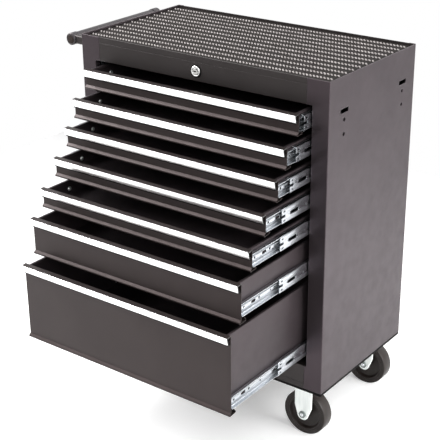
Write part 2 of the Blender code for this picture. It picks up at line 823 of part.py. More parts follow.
def slide_rack(name, hand):
    """The outer rails of one side's slides, on two uprights."""
    rack = upright(name, hand, UPRIGHT_FRONT)
    parts = [upright(name + "_rear", hand, UPRIGHT_REAR)]
    web = SLIDE_INSET - OUTER_RAIL_SINK
    for index in range(DRAWER_COUNT):
        section = rail_section(hand, web, OUTER_RAIL_DEPTH, OUTER_RAIL_HEIGHT, rail_z(index))
        parts.append(
            bent_sheet(
                f"{name}_rail_{index + 1}",
                section,
                "XZ",
                OUTER_RAIL_FRONT,
                MIDDLE_RAIL_FRONT + RAIL_LENGTH,
                RAIL_SHEET,
                -hand,
                0,
            )
        )
    combine(rack, "UNION", parts)
    return finish(rack, ZINC)


def lock_cylinder():
    """The key cylinder, with the cam on its rear end. It turns about its own axis."""
    rear = CABINET_SHEET + LOCK_BARREL_LENGTH
    face_front = -GAP - LOCK_FACE_THICKNESS
    profile = [
        (0, rear),
        (LOCK_BARREL_RADIUS, rear),
        (LOCK_BARREL_RADIUS, -GAP),
        (LOCK_FACE_RADIUS, -GAP),
        (LOCK_FACE_RADIUS, face_front + LOCK_FACE_CHAMFER),
        (LOCK_FACE_RADIUS - LOCK_FACE_CHAMFER, face_front),
        (0, face_front),
    ]
    lock = turned("lock_cylinder", profile, (LOCK_X, 0, LOCK_Z), "Y", CASTER_SEGMENTS, False)
    outline = arc((LOCK_X, LOCK_Z), CAM_WIDTH / 2, -90, 90, FOOT_STEPS)
    outline += arc((LOCK_X - CAM_LENGTH, LOCK_Z), CAM_WIDTH / 2, 90, 270, FOOT_STEPS)
    cam = flat_plate("cam", outline, "XZ", rear - CAM_THICKNESS / 2, rear + CAM_THICKNESS / 2)
    combine(lock, "UNION", [cam])
    keyway = box(
        "keyway",
        (LOCK_X - KEYWAY_WIDTH / 2, face_front - OVERRUN, LOCK_Z - KEYWAY_HEIGHT / 2),
        (LOCK_X + KEYWAY_WIDTH / 2, face_front + KEYWAY_DEPTH, LOCK_Z + KEYWAY_HEIGHT / 2),
    )
    combine(lock, "DIFFERENCE", [keyway])
    return finish(lock, LOCK_CHROME)


def lock_rod():
    """The flat rod under the tray that the cam pushes back, bent down at both ends."""
    top = TRAY_FLOOR_BOTTOM - GAP
    front = CABINET_SHEET + LOCK_BARREL_LENGTH + CAM_THICKNESS / 2 + GAP
    rear = BACK_PANEL_Y - CABINET_SHEET - ROD_REAR_CLEARANCE
    path = [(front, top - ROD_FRONT_DROP), (front, top), (rear, top), (rear, top - ROD_REAR_DROP)]
    low_x = LOCK_X - CAM_LENGTH - ROD_WIDTH / 2
    rod = bent_sheet(
        "lock_rod", path, "YZ", low_x, low_x + ROD_WIDTH, ROD_THICKNESS, 1, ROD_BEND
    )
    set_origin(rod, (low_x + ROD_WIDTH / 2, front, top))
    return finish(rod, ZINC)


def lock_bar():
    """The bar behind the drawers, which rises to catch them, with one hook for each."""
    middle = LOCK_X - CAM_LENGTH
    rear = BACK_PANEL_Y - CABINET_SHEET - GAP
    front = rear - BAR_DEPTH
    left = middle - BAR_WIDTH / 2
    right = middle + BAR_WIDTH / 2
    top = TRAY_FLOOR_BOTTOM - BAR_TOP_CLEARANCE - ROD_REAR_DROP
    path = [(left, rear), (left, front), (right, front), (right, rear)]
    bar = bent_sheet("lock_bar", path, "XY", BAR_BOTTOM, top, BAR_SHEET, -1, 0)
    hooks = []
    tip = MIDDLE_RAIL_FRONT + DRAWER_DEPTH + BAR_HOOK_CLEARANCE
    for index in range(DRAWER_COUNT):
        z = drawer_top(index) - BAR_HOOK_DROP
        hooks.append(
            box(
                f"lock_hook_{index + 1}",
                (middle - BAR_HOOK_WIDTH / 2, tip, z - BAR_HOOK_THICKNESS),
                (middle + BAR_HOOK_WIDTH / 2, front + BAR_SHEET / 2, z),
            )
        )
    combine(bar, "UNION", hooks)
    set_origin(bar, (middle, front, BAR_BOTTOM))
    return finish(bar, ZINC)


def handle_tube():
    """The grip: a tube whose ends sit in the bores of the two brackets."""
    front = HANDLE_FRONT + BOSS_CAP + GAP
    back = HANDLE_BACK - BOSS_CAP - GAP
    inner = HANDLE_RADIUS - HANDLE_WALL
    profile = [(HANDLE_RADIUS, back), (HANDLE_RADIUS, front), (inner, front), (inner, back)]
    tube = turned(
        "handle_tube", profile, (-HANDLE_REACH, 0, HANDLE_Z), "Y", BOSS_SEGMENTS, True
    )
    return finish(tube, HANDLE_PAINT)


def handle_bracket(name, outer_y, direction):
    """A bracket that holds one end of the grip on the left side. It reaches in from outer_y."""
    boss_middle = outer_y + direction * BOSS_LENGTH / 2
    centre = (-HANDLE_REACH, boss_middle, HANDLE_Z)
    bracket = cylinder(name, BOSS_RADIUS, centre, BOSS_LENGTH, "Y", BOSS_SEGMENTS)
    arm = box(
        name + "_arm",
        (-HANDLE_REACH, boss_middle - ARM_WIDTH / 2, HANDLE_Z - ARM_HEIGHT / 2),
        (-GAP - ARM_PLATE_THICKNESS / 2, boss_middle + ARM_WIDTH / 2, HANDLE_Z + ARM_HEIGHT / 2),
    )
    plate = box(
        name + "_plate",
        (
            -GAP - ARM_PLATE_THICKNESS,
            boss_middle - ARM_PLATE_WIDTH / 2,
            HANDLE_Z - ARM_PLATE_HEIGHT / 2,
        ),
        (-GAP, boss_middle + ARM_PLATE_WIDTH / 2, HANDLE_Z + ARM_PLATE_HEIGHT / 2),
    )
    combine(bracket, "UNION", [arm, plate])
    bore_length = BOSS_LENGTH - BOSS_CAP + OVERRUN
    bore_middle = outer_y + direction * (BOSS_CAP + bore_length / 2)
    bore = cylinder(
        name + "_bore",
        HANDLE_RADIUS + BOSS_CLEARANCE,
        (-HANDLE_REACH, bore_middle, HANDLE_Z),
        bore_length,
        "Y",
        BOSS_SEGMENTS,
    )
    combine(bracket, "DIFFERENCE", [bore])
    return finish(bracket, BLACK_PAINT)


def wheel(name, centre):
    """A solid wheel, with a rim ledge and a hub on each side."""
    bore = AXLE_RADIUS + GAP
    half = WHEEL_WIDTH / 2
    rim_inner = WHEEL_RADIUS - RIM_THICKNESS
    upper = [
        (bore, HUB_WIDTH / 2),
        (HUB_RADIUS, HUB_WIDTH / 2),
        (HUB_RADIUS, WEB_THICKNESS / 2),
        (rim_inner - RIM_LEDGE, WEB_THICKNESS / 2),
        (rim_inner, half - RIM_LEDGE),
        (WHEEL_RADIUS - TREAD_SHOULDER, half),
        (WHEEL_RADIUS, half - TREAD_SHOULDER),
    ]
    lower = [(radius, -height) for radius, height in reversed(upper)]
    made = turned(name, upper + lower, centre, "Y", WHEEL_SEGMENTS, True)
    return finish(made, WHEEL_RUBBER)


def axle(name, centre):
    """A bolt through the fork and the wheel, with a head and a nut outside the fork."""
    seat = FORK_OPENING / 2 + FORK_SHEET + GAP
    end = seat + AXLE_HEAD_LENGTH
    profile = [
        (0, end),
        (AXLE_HEAD_RADIUS, end),
        (AXLE_HEAD_RADIUS, seat),
        (AXLE_RADIUS, seat),
        (AXLE_RADIUS, -seat),
        (AXLE_HEAD_RADIUS, -seat),
        (AXLE_HEAD_RADIUS, -end),
        (0, -end),
    ]
    made = turned(name, profile, centre, "Y", FOOT_STEPS + FOOT_STEPS, False)
    return finish(made, ZINC)


def top_plate(name, x, y):
    """A caster's top plate with its four bolts, whose nuts hang under it."""
    plate = box(
        name,
        (x - PLATE_LENGTH / 2, y - PLATE_WIDTH / 2, PLATE_BOTTOM),
        (x + PLATE_LENGTH / 2, y + PLATE_WIDTH / 2, -GAP),
    )
    bolts = []
    inside = PLATE_BOTTOM + PLATE_THICKNESS / 2
    for across_x in (-BOLT_SPACING_X / 2, BOLT_SPACING_X / 2):
        for across_y in (-BOLT_SPACING_Y / 2, BOLT_SPACING_Y / 2):
            for label, radius, length, sides in (
                ("nut", NUT_RADIUS, NUT_LENGTH, 6),
                ("bolt", BOLT_RADIUS, BOLT_LENGTH, 8),
            ):
                low = PLATE_BOTTOM - length
                middle = (x + across_x, y + across_y, (inside + low) / 2)
                bolts.append(
                    cylinder(f"{name}_{label}", radius, middle, inside - low, "Z", sides)
                )
    combine(plate, "UNION", bolts)
    return plate


def rigid_caster(name, x, y):
    """Top plate and two legs that taper down to the axle, joined in one pressing."""
    caster = top_plate(name, x, y)
    legs = []
    outline = [
        (x - FORK_TOP_WIDTH / 2, PLATE_BOTTOM + FORK_SINK),
        *arc((x, -WHEEL_DROP), FORK_FOOT_RADIUS, 180, 360, FOOT_STEPS),
        (x + FORK_TOP_WIDTH / 2, PLATE_BOTTOM + FORK_SINK),
    ]
    for side in (-1, 1):
        inner = y + side * FORK_OPENING / 2
        outer = inner + side * FORK_SHEET
        legs.append(
            flat_plate(f"{name}_leg", outline, "XZ", min(inner, outer), max(inner, outer))
        )
    combine(caster, "UNION", legs)
    combine(caster, "DIFFERENCE", [axle_hole(name, x, y)])
    return finish(caster, ZINC)


def axle_hole(name, x, y):
    length = FORK_OPENING + 2 * FORK_SHEET + 2 * OVERRUN
    centre = (x, y, -WHEEL_DROP)
    return cylinder(f"{name}_axle_hole", AXLE_RADIUS + GAP, centre, length, "Y", 16)


def swivel_plate(name, x, y):
    """Top plate with the fixed half of the raceway and the king pin."""
    plate = top_plate(name, x, y)
    raceway_top = PLATE_BOTTOM + FORK_SINK
    raceway = cylinder(
        name + "_raceway",
        RACEWAY_RADIUS,
        (x, y, (raceway_top + RACEWAY_BOTTOM) / 2),
        raceway_top - RACEWAY_BOTTOM,
        "Z",
    )
    head_top = CROWN_BOTTOM - GAP
    pin_top = RACEWAY_BOTTOM + FORK_SINK
    pin_bottom = head_top - FORK_SINK
    pin = cylinder(
        name + "_pin", KING_PIN_RADIUS, (x, y, (pin_top + pin_bottom) / 2), pin_top - pin_bottom, "Z"
    )
    head = cylinder(
        name + "_pin_head",
        KING_PIN_HEAD_RADIUS,
        (x, y, head_top - KING_PIN_HEAD_HEIGHT / 2),
        KING_PIN_HEAD_HEIGHT,
        "Z",
    )
    combine(plate, "UNION", [raceway, pin, head])
    return finish(plate, ZINC)


def swivel_fork(name, x, y):
    """Crown and legs that turn about the king pin, with the wheel trailing to the left."""
    crown_middle = (CROWN_TOP + CROWN_BOTTOM) / 2
    fork = cylinder(name, CROWN_RADIUS, (x, y, crown_middle), CROWN_HEIGHT, "Z")
    outer_y = FORK_OPENING / 2 + FORK_SHEET
    shoulder = box(
        name + "_shoulder",
        (x - FORK_TOP_WIDTH / 2, y - outer_y, CROWN_BOTTOM),
        (x + FORK_TOP_WIDTH / 2, y + outer_y, CROWN_BOTTOM + CROWN_SHOULDER),
    )
    pivot_x = x - PEDAL_PIVOT_BACK
    outline = [
        (x + FORK_TOP_WIDTH / 2, CROWN_BOTTOM + CROWN_SHOULDER - FORK_SINK),
        *arc((pivot_x, -PEDAL_PIVOT_DROP), PEDAL_EAR_RADIUS, 90, 180, FOOT_STEPS // 2),
        *arc((x - SWIVEL_TRAIL, -WHEEL_DROP), FORK_FOOT_RADIUS, 180, 360, FOOT_STEPS),
    ]
    parts = [shoulder]
    for side in (-1, 1):
        inner = y + side * FORK_OPENING / 2
        outer = inner + side * FORK_SHEET
        parts.append(
            flat_plate(f"{name}_leg", outline, "XZ", min(inner, outer), max(inner, outer))
        )
    combine(fork, "UNION", parts)
    pin_hole = cylinder(
        name + "_pin_hole",
        KING_PIN_RADIUS + GAP,
        (x, y, crown_middle),
        CROWN_HEIGHT + 2 * OVERRUN,
        "Z",
    )
    pedal_hole = cylinder(
        name + "_pedal_hole",
        PEDAL_PIN_RADIUS + GAP,
        (pivot_x, y, -PEDAL_PIVOT_DROP),
        FORK_OPENING + 2 * FORK_SHEET + 2 * OVERRUN,
        "Y",
        PEDAL_SEGMENTS,
    )
    combine(fork, "DIFFERENCE", [pin_hole, pedal_hole, axle_hole(name, x - SWIVEL_TRAIL, y)])
    set_origin(fork, (x, y, crown_middle))
    return finish(fork, ZINC)


def brake_pedal(name, x, y):
    """A pedal that turns on its pin between the legs and brings its shoe down on the wheel."""
    pivot_x = x - PEDAL_PIVOT_BACK
    pivot_z = -PEDAL_PIVOT_DROP
    pin_length = FORK_OPENING + 2 * FORK_SHEET
    pedal = cylinder(
        name, PEDAL_PIN_RADIUS, (pivot_x, y, pivot_z), pin_length, "Y", PEDAL_SEGMENTS
    )
    top = pivot_z + PEDAL_RISE
    path = [
        (pivot_x + PEDAL_PIN_RADIUS, top),
        (pivot_x - PEDAL_FLAT, top),
        (pivot_x - PEDAL_REACH, top + PEDAL_TIP_RISE),
    ]
    half = PEDAL_WIDTH / 2
    pad = bent_sheet(
        name + "_pad", path, "XZ", y - half, y + half, PEDAL_THICKNESS, 1, SHEET_BEND
    )
    shoe_x = pivot_x - PEDAL_SHOE_BACK
    shoe = box(
        name + "_shoe",
        (shoe_x - PEDAL_SHOE_LENGTH / 2, y - half, pivot_z - PEDAL_SHOE_DROP),
        (shoe_x + PEDAL_SHOE_LENGTH / 2, y + half, top - PEDAL_THICKNESS / 2),
    )
    combine(pedal, "UNION", [pad, shoe])
    set_origin(pedal, (pivot_x, y, pivot_z))
    return finish(pedal, BLACK_PAINT)


def cabinet():
    side_panel("side_panel_left", -1)
    side_panel("side_panel_right", 1)
    back_panel()
    floor_panel()
    bottom_rail()
    apron()
    top_tray()
    tray_mat()


def drawers_and_slides():
    for index in range(DRAWER_COUNT):
        drawer(index)
        drawer_trim(index)
        for hand in (-1, 1):
            middle_rail(index, hand)
    slide_rack("slide_rack_left", -1)
    slide_rack("slide_rack_right", 1)


def handle():
    handle_tube()
    handle_bracket("handle_bracket_front", HANDLE_FRONT, 1)
    handle_bracket("handle_bracket_rear", HANDLE_BACK, -1)


def casters():
    for end, y in (("front", FRONT_CASTER_Y), ("rear", REAR_CASTER_Y)):
        right = (RIGHT_CASTER_X, y, -WHEEL_DROP)
        rigid_caster(f"rigid_fork_{end}", RIGHT_CASTER_X, y)
        wheel(f"wheel_right_{end}", right)
        axle(f"axle_right_{end}", right)
        left = (CASTER_FROM_LEFT - SWIVEL_TRAIL, y, -WHEEL_DROP)
        swivel_plate(f"swivel_plate_{end}", CASTER_FROM_LEFT, y)
        swivel_fork(f"swivel_fork_{end}", CASTER_FROM_LEFT, y)
        wheel(f"wheel_left_{end}", left)
        axle(f"axle_left_{end}", left)
        brake_pedal(f"brake_pedal_{end}", CASTER_FROM_LEFT, y)


cabinet()
drawers_and_slides()
lock_cylinder()
lock_rod()
lock_bar()
handle()
casters()
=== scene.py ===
"""Looks of the seven-drawer tool cart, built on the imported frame. Lengths are in metres."""

import math

import bmesh
import bpy
from mathutils import Matrix, Vector

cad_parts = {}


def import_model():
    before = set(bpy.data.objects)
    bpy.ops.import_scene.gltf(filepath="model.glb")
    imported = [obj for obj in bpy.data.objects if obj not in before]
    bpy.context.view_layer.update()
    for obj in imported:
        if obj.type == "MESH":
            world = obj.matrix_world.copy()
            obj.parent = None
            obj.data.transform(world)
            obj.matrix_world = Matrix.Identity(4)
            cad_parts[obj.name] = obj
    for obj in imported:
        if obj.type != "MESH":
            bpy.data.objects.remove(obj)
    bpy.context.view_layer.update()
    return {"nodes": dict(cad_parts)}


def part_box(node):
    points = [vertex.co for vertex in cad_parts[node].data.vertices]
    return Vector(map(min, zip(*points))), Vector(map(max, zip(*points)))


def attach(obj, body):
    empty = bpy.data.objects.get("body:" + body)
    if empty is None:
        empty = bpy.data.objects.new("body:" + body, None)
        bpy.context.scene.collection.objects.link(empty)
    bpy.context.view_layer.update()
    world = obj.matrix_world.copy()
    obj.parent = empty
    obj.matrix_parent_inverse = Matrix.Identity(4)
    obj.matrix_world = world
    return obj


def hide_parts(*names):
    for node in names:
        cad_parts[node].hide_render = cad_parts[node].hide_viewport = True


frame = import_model()

DRAWERS = 7
SHALLOW_DRAWERS = 5
SHEET = 0.001
CORNER, PANEL_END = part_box("side_panel_left")
BODY_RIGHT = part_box("side_panel_right")[1].x
BODY_BACK = PANEL_END.y


# Materials

NOISE_RANGE = (0.3, 0.7)
BEVEL_SAMPLES = 6


class Finish:
    """A material under construction, whose textures follow the piece in metres."""

    def __init__(self, name):
        self.material = bpy.data.materials.new(name)
        self.material.use_nodes = True
        self.nodes = self.material.node_tree.nodes
        self.links = self.material.node_tree.links
        self.shader = self.nodes["Principled BSDF"]
        self.place = self.nodes.new("ShaderNodeTexCoord").outputs["Object"]

    def set(self, **values):
        """Sets the shader's own sockets, with underscores for the spaces in their names."""
        for name, value in values.items():
            self.shader.inputs[name.replace("_", " ")].default_value = value

    def stretched(self, scale):
        mapping = self.nodes.new("ShaderNodeMapping")
        mapping.inputs["Scale"].default_value = scale
        self.links.new(self.place, mapping.inputs["Vector"])
        return mapping.outputs["Vector"]

    def noise(self, scale, detail, stretch=(1, 1, 1)):
        node = self.nodes.new("ShaderNodeTexNoise")
        node.inputs["Scale"].default_value = scale
        node.inputs["Detail"].default_value = detail
        self.links.new(self.stretched(stretch), node.inputs["Vector"])
        return node.outputs["Fac"]

    def colour(self, factor, stops):
        """Base colour from a factor, between two stops of (factor, colour)."""
        node = self.nodes.new("ShaderNodeValToRGB")
        for element, (position, colour) in zip(node.color_ramp.elements, stops):
            element.position = position
            element.color = (*colour, 1.0)
        self.links.new(factor, node.inputs["Fac"])
        self.links.new(node.outputs["Color"], self.shader.inputs["Base Color"])

    def roughness(self, factor, low, high):
        node = self.nodes.new("ShaderNodeMapRange")
        node.inputs["From Min"].default_value = NOISE_RANGE[0]
        node.inputs["From Max"].default_value = NOISE_RANGE[1]
        node.inputs["To Min"].default_value = low
        node.inputs["To Max"].default_value = high
        self.links.new(factor, node.inputs["Value"])
        self.links.new(node.outputs["Result"], self.shader.inputs["Roughness"])

    def surface(self, height, distance, strength, edge):
        """Bump from a height, on normals that are rounded over every edge."""
        bevel = self.nodes.new("ShaderNodeBevel")
        bevel.samples = BEVEL_SAMPLES
        bevel.inputs["Radius"].default_value = edge
        bump = self.nodes.new("ShaderNodeBump")
        bump.inputs["Distance"].default_value = distance
        bump.inputs["Strength"].default_value = strength
        self.links.new(height, bump.inputs["Height"])
        self.links.new(bevel.outputs["Normal"], bump.inputs["Normal"])
        self.links.new(bump.outputs["Normal"], self.shader.inputs["Normal"])


def paint(name, low, high, edge, rough=(0.36, 0.46), tint=(1.0, 0.88, 0.89)):
    """Powder coat: nearly black, a little uneven in tone and gloss, with a fine grain."""
    finish = Finish(name)
    finish.colour(finish.noise(scale=9.0, detail=3.0), [(0.35, low), (0.65, high)])
    finish.roughness(finish.noise(scale=40.0, detail=3.0), *rough)
    grain = finish.noise(scale=1100.0, detail=2.0)
    finish.surface(grain, distance=0.00003, strength=0.35, edge=edge)
    finish.set(Specular_Tint=(*tint, 1.0))
    return finish.material


def metal(name, low, high, rough, stretch=(1, 1, 1), edge=0.0006, grain=350.0):
    """Plated or anodised metal with fine lines along its length."""
    finish = Finish(name)
    streak = finish.noise(grain, 3.0, stretch)
    finish.colour(streak, [(0.3, low), (0.7, high)])
    finish.roughness(finish.noise(60.0, 3.0, stretch), *rough)
    finish.surface(streak, distance=0.00002, strength=0.5, edge=edge)
    finish.set(Metallic=1.0)
    return finish.material


def rubber(name, low, high, rough, level):
    """Rubber or dull plastic, with its specular level."""
    finish = Finish(name)
    finish.set(Specular_IOR_Level=level)
    finish.colour(finish.noise(scale=60.0, detail=4.0), [(0.35, low), (0.65, high)])
    finish.roughness(finish.noise(scale=120.0, detail=3.0), *rough)
    grain = finish.noise(scale=1500.0, detail=2.0)
    finish.surface(grain, distance=0.00004, strength=0.4, edge=0.0004)
    return finish.material


# The body, side panels, drawer fronts and pans share one powder coat in copies with different
# specular tints. The body's and drawer fronts' weaker tints darken them as painted shade.
BODY_PAINT = paint(
    "body_paint",
    (0.0120, 0.0103, 0.0100),
    (0.0172, 0.0148, 0.0144),
    0.0012,
    tint=(0.70, 0.62, 0.62),
)
# The side panels' copy has a strong, purple specular tint: painted reflection, for the brighter
# purple light on the cart's sides.
LIT_SIDE_PAINT = paint(
    "side_paint_lit",
    (0.0125, 0.0106, 0.0109),
    (0.0180, 0.0154, 0.0158),
    0.0026,
    tint=(1.0, 0.76, 0.89),
)
DRAWER_PAINT = paint(
    "drawer_paint",
    (0.0135, 0.0106, 0.0101),
    (0.0185, 0.0147, 0.0141),
    0.0010,
    (0.32, 0.40),
    (0.62, 0.49, 0.49),
)
PAN_PAINT = paint(
    "pan_paint",
    (0.0140, 0.0112, 0.0120),
    (0.0200, 0.0160, 0.0172),
    0.0010,
    (0.42, 0.50),
    (0.68, 0.54, 0.59),
)
HANDLE_PAINT = paint(
    "handle_paint", (0.030, 0.028, 0.031), (0.042, 0.040, 0.043), 0.0008, (0.4, 0.5)
)
CAP_PAINT = rubber("end_cap", (0.024, 0.018, 0.016), (0.036, 0.028, 0.025), (0.6, 0.7), 0.1)
ZINC = metal("zinc_plate", (0.36, 0.38, 0.40), (0.58, 0.60, 0.63), (0.20, 0.32), (1, 0.04, 1))
RACK_ZINC = metal(
    "rack_zinc", (0.09, 0.095, 0.10), (0.15, 0.155, 0.16), (0.45, 0.55), (1, 1, 0.04)
)
FORK_ZINC = metal(
    "fork_zinc",
    (0.74, 0.78, 0.76),
    (0.89, 0.92, 0.90),
    (0.34, 0.46),
    (1, 1, 0.2),
    edge=0.001,
    grain=120.0,
)
BOLT_ZINC = metal(
    "bolt_zinc", (0.66, 0.68, 0.70), (0.82, 0.84, 0.86), (0.2, 0.3), grain=200.0
)
NUT_ZINC = metal(
    "nut_zinc", (0.16, 0.19, 0.18), (0.26, 0.29, 0.28), (0.3, 0.42), grain=200.0
)
ALUMINIUM = metal(
    "aluminium",
    (0.86, 0.86, 0.86),
    (0.93, 0.93, 0.93),
    (0.12, 0.20),
    (0.03, 1, 1),
    edge=0.0003,
    grain=500.0,
)
# Dark grey for the trim's ends: painted shade of the open hollow seen in each end.
TRIM_END_SHADE = metal(
    "trim_end_shade", (0.08, 0.08, 0.08), (0.14, 0.14, 0.14), (0.4, 0.5), edge=0.0003, grain=500.0
)
CHROME = metal(
    "lock_chrome", (0.74, 0.74, 0.73), (0.84, 0.84, 0.83), (0.30, 0.42), edge=0.0005, grain=300.0
)
LOCK_FACE = metal(
    "lock_face", (0.60, 0.60, 0.58), (0.74, 0.74, 0.72), (0.34, 0.46), edge=0.0002, grain=500.0
)
MAT_BASE = rubber("mat_base", (0.010, 0.008, 0.007), (0.018, 0.015, 0.014), (0.75, 0.9), 0.12)
# Pale grey for the mat's raised strokes: painted highlight on the ridges, in place of their gloss.
MAT_STROKE_HIGHLIGHT = rubber("mat_stroke_highlight", (0.28, 0.255, 0.248), (0.40, 0.37, 0.365), (0.65, 0.8), 0.08)
TYRE = rubber("tyre", (0.012, 0.008, 0.007), (0.019, 0.014, 0.012), (0.38, 0.48), 0.28)
# Flat black that stands in for shade: painted shade on the strips and plates put in gaps, holes and
# hollows.
PAINTED_SHADE = rubber("painted_shade_black", (0.004, 0.004, 0.004), (0.007, 0.006, 0.006), (0.6, 0.8), 0.08)


# Shapes

ARC_SHARE = 0.45


def place_on(plane, u, v, w):
    """A point from its two places in a plane and its place across it."""
    if plane == "YZ":
        return Vector((w, u, v))
    if plane == "XZ":
        return Vector((u, w, v))
    return Vector((u, v, w))


def rounded(path, radius, steps):
    """The path's points, with each inner corner turned into an arc."""
    points = [Vector(path[0])]
    for before, corner, after in zip(path, path[1:], path[2:]):
        corner = Vector(corner)
        back = Vector(before) - corner
        ahead = Vector(after) - corner
        angle = back.angle(ahead)
        shortest = min(back.length * ARC_SHARE, ahead.length * ARC_SHARE)
        reach = min(radius / math.tan(angle / 2), shortest)
        turn = math.pi - angle
        if back.cross(ahead) > 0:
            turn = -turn
        arm = Vector((-back.y, back.x)).normalized() * reach * math.tan(angle / 2)
        if arm.dot(ahead) < 0:
            arm = -arm
        start = corner + back.normalized() * reach
        centre = start + arm
        for step in range(steps + 1):
            spin = Matrix.Rotation(turn * step / steps, 2)
            points.append(centre + spin @ (start - centre))
    points.append(Vector(path[-1]))
    return points


def rounded_loop(path, radius, steps=5):
    """A closed outline with rounded corners."""
    return rounded([path[-1], *path, path[0]], radius, steps)[1:-1]


def offset(points, distance):
    """The same line moved to its left by distance."""
    sides = []
    for first, second in zip(points, points[1:]):
        along = (second - first).normalized()
        sides.append(Vector((-along.y, along.x)))
    moved = []
    for number, point in enumerate(points):
        before = sides[max(number - 1, 0)]
        after = sides[min(number, len(sides) - 1)]
        moved.append(point + (before + after) * distance / (1 + before.dot(after)))
    return moved


def piece(name, bm, material, body, smooth=35.0):
    """A named object from mesh code that rides on a body."""
    bmesh.ops.recalc_face_normals(bm, faces=bm.faces)
    mesh = bpy.data.meshes.new(name)
    bm.to_mesh(mesh)
    bm.free()
    return piece_of(name, mesh, material, body, smooth)


def piece_of(name, mesh, material, body, smooth, location=(0, 0, 0)):
    """An object around a mesh that other pieces may share."""
    obj = bpy.data.objects.new(name, mesh)
    bpy.context.scene.collection.objects.link(obj)
    obj.location = location
    if material and not mesh.materials:
        mesh.materials.append(material)
    mesh.shade_smooth()
    if smooth:
        mesh.set_sharp_from_angle(angle=math.radians(smooth))
    if body:
        bpy.context.view_layer.update()
        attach(obj, body)
    return obj


def add_sheet(bm, path, thickness, plane, start, end, radius=0.0, steps=4):
    """Adds a bent sheet: the path, thickened to its left, from start to end across its plane."""
    points = rounded(path, radius, steps) if radius else [Vector(point) for point in path]
    other = offset(points, thickness)
    rows = []
    for across in (start, end):
        for line in (points, other):
            rows.append([bm.verts.new(place_on(plane, point.x, point.y, across)) for point in line])
    near, near_other, far, far_other = rows
    strips = ((near, far), (far_other, near_other), (near_other, near), (far, far_other))
    for first, second in strips:
        for number in range(len(points) - 1):
            bm.faces.new((first[number], first[number + 1], second[number + 1], second[number]))
    for number in (0, -1):
        bm.faces.new((near[number], far[number], far_other[number], near_other[number]))


def add_plate(bm, outline, plane, start, end):
    """Adds a closed outline as a plate from start to end across its plane."""
    near = [bm.verts.new(place_on(plane, point[0], point[1], start)) for point in outline]
    far = [bm.verts.new(place_on(plane, point[0], point[1], end)) for point in outline]
    bm.faces.new(near)
    bm.faces.new(list(reversed(far)))
    count = len(outline)
    for number in range(count):
        after = (number + 1) % count
        bm.faces.new((near[number], far[number], far[after], near[after]))
    return far


def add_lathe(bm, profile, origin, axis, segments=64):
    """Adds a turned body. The profile runs (radius, place along the axis), from end to end."""
    turns = {"X": Matrix.Rotation(math.pi / 2, 4, "Y"), "Y": Matrix.Rotation(-math.pi / 2, 4, "X")}
    turn = turns.get(axis, Matrix.Identity(4))
    rings = []
    for radius, along in profile:
        ring = []
        for number in range(segments if radius else 1):
            angle = 2 * math.pi * number / segments
            point = turn @ Vector((radius * math.cos(angle), radius * math.sin(angle), along))
            ring.append(bm.verts.new(Vector(origin) + point))
        rings.append(ring)
    for first, second in zip(rings, rings[1:]):
        for number in range(segments):
            after = (number + 1) % segments
            if len(first) == 1 and len(second) == 1:
                continue
            if len(first) == 1:
                bm.faces.new((first[0], second[number], second[after]))
            elif len(second) == 1:
                bm.faces.new((first[number], first[after], second[0]))
            else:
                bm.faces.new((first[number], first[after], second[after], second[number]))


def lathe(name, profile, origin, material, body, segments=64, smooth=30.0):
    """A turned piece around an axis along Y."""
    bm = bmesh.new()
    add_lathe(bm, profile, origin, "Y", segments)
    return piece(name, bm, material, body, smooth)


def soften(obj, width, segments=2, angle=35.0):
    bevel = obj.modifiers.new("soft edges", "BEVEL")
    bevel.width = width
    bevel.segments = segments
    bevel.limit_method = "ANGLE"
    bevel.angle_limit = math.radians(angle)


def rectangle(low_u, high_u, low_v, high_v):
    return [(low_u, low_v), (high_u, low_v), (high_u, high_v), (low_u, high_v)]


def slot_outline(centre_u, centre_v, length, height, steps=6):
    """An oblong hole with round ends."""
    radius = height / 2
    half = length / 2 - radius
    outline = []
    for side in (1, -1):
        for step in range(steps + 1):
            angle = math.pi * step / steps - math.pi / 2
            u = centre_u + side * (half + radius * math.cos(angle))
            outline.append((u, centre_v + side * radius * math.sin(angle)))
    return outline


def cut(obj, cutters):
    """Takes plates away from a piece, and applies it."""
    bm = bmesh.new()
    for outline, plane, start, end in cutters:
        add_plate(bm, outline, plane, start, end)
    bmesh.ops.recalc_face_normals(bm, faces=bm.faces)
    mesh = bpy.data.meshes.new("cutters")
    bm.to_mesh(mesh)
    bm.free()
    tool = bpy.data.objects.new("cutters", mesh)
    bpy.context.scene.collection.objects.link(tool)
    boolean = obj.modifiers.new("holes", "BOOLEAN")
    boolean.object = tool
    boolean.operation = "DIFFERENCE"
    boolean.solver = "EXACT"
    graph = bpy.context.evaluated_depsgraph_get()
    done = bpy.data.meshes.new_from_object(obj.evaluated_get(graph))
    obj.modifiers.clear()
    old = obj.data
    obj.data = done
    bpy.data.meshes.remove(old)
    bpy.data.objects.remove(tool)
    bpy.data.meshes.remove(mesh)
    done.shade_smooth()
    done.set_sharp_from_angle(angle=math.radians(30))


# Drawers

DRAWER_DEPTH = 0.300
DRAWER_RAIL_HEIGHT = 0.0272
SHALLOW_RAIL_RISE = 0.022
DEEP_RAIL_RISE = 0.028

FRONT_TOP_DROP = 0.0017
FRONT_BEND = 0.0012
LIP_REACH = 0.0050
LIP_RISE = 0.0073
NOSE_HEIGHT = 0.0018
HOOK_DEPTH = 0.014
HOOK_CLIMB = 0.0015
HOOK_CURL = 0.006
HOOK_RAIL_GAP = 0.0022

PAN_FROM_SIDE = 0.0497
PAN_RAIL_GAP = 0.0006
PAN_FRONT_GAP = 0.0012
PAN_BACK_GAP = 0.0005
PAN_BEND = 0.0012
PAN_TOP_DROP = 0.002
PAN_HEM = 0.006
PAN_HEM_TURN = 0.005
BACK_FLANGE = 0.008
BACK_FLANGE_DROP = 0.0004
BACK_BEND = 0.001

RIVETS_FROM_FACE = (0.0687, 0.1687, 0.2687)
RIVET_DROP = 0.0025
# Half section: radius, height above the pan's sheet
RIVET_HEAD = ((0.0050, 0.0), (0.0048, 0.0008), (0.0030, 0.0018), (0.0, 0.0021))

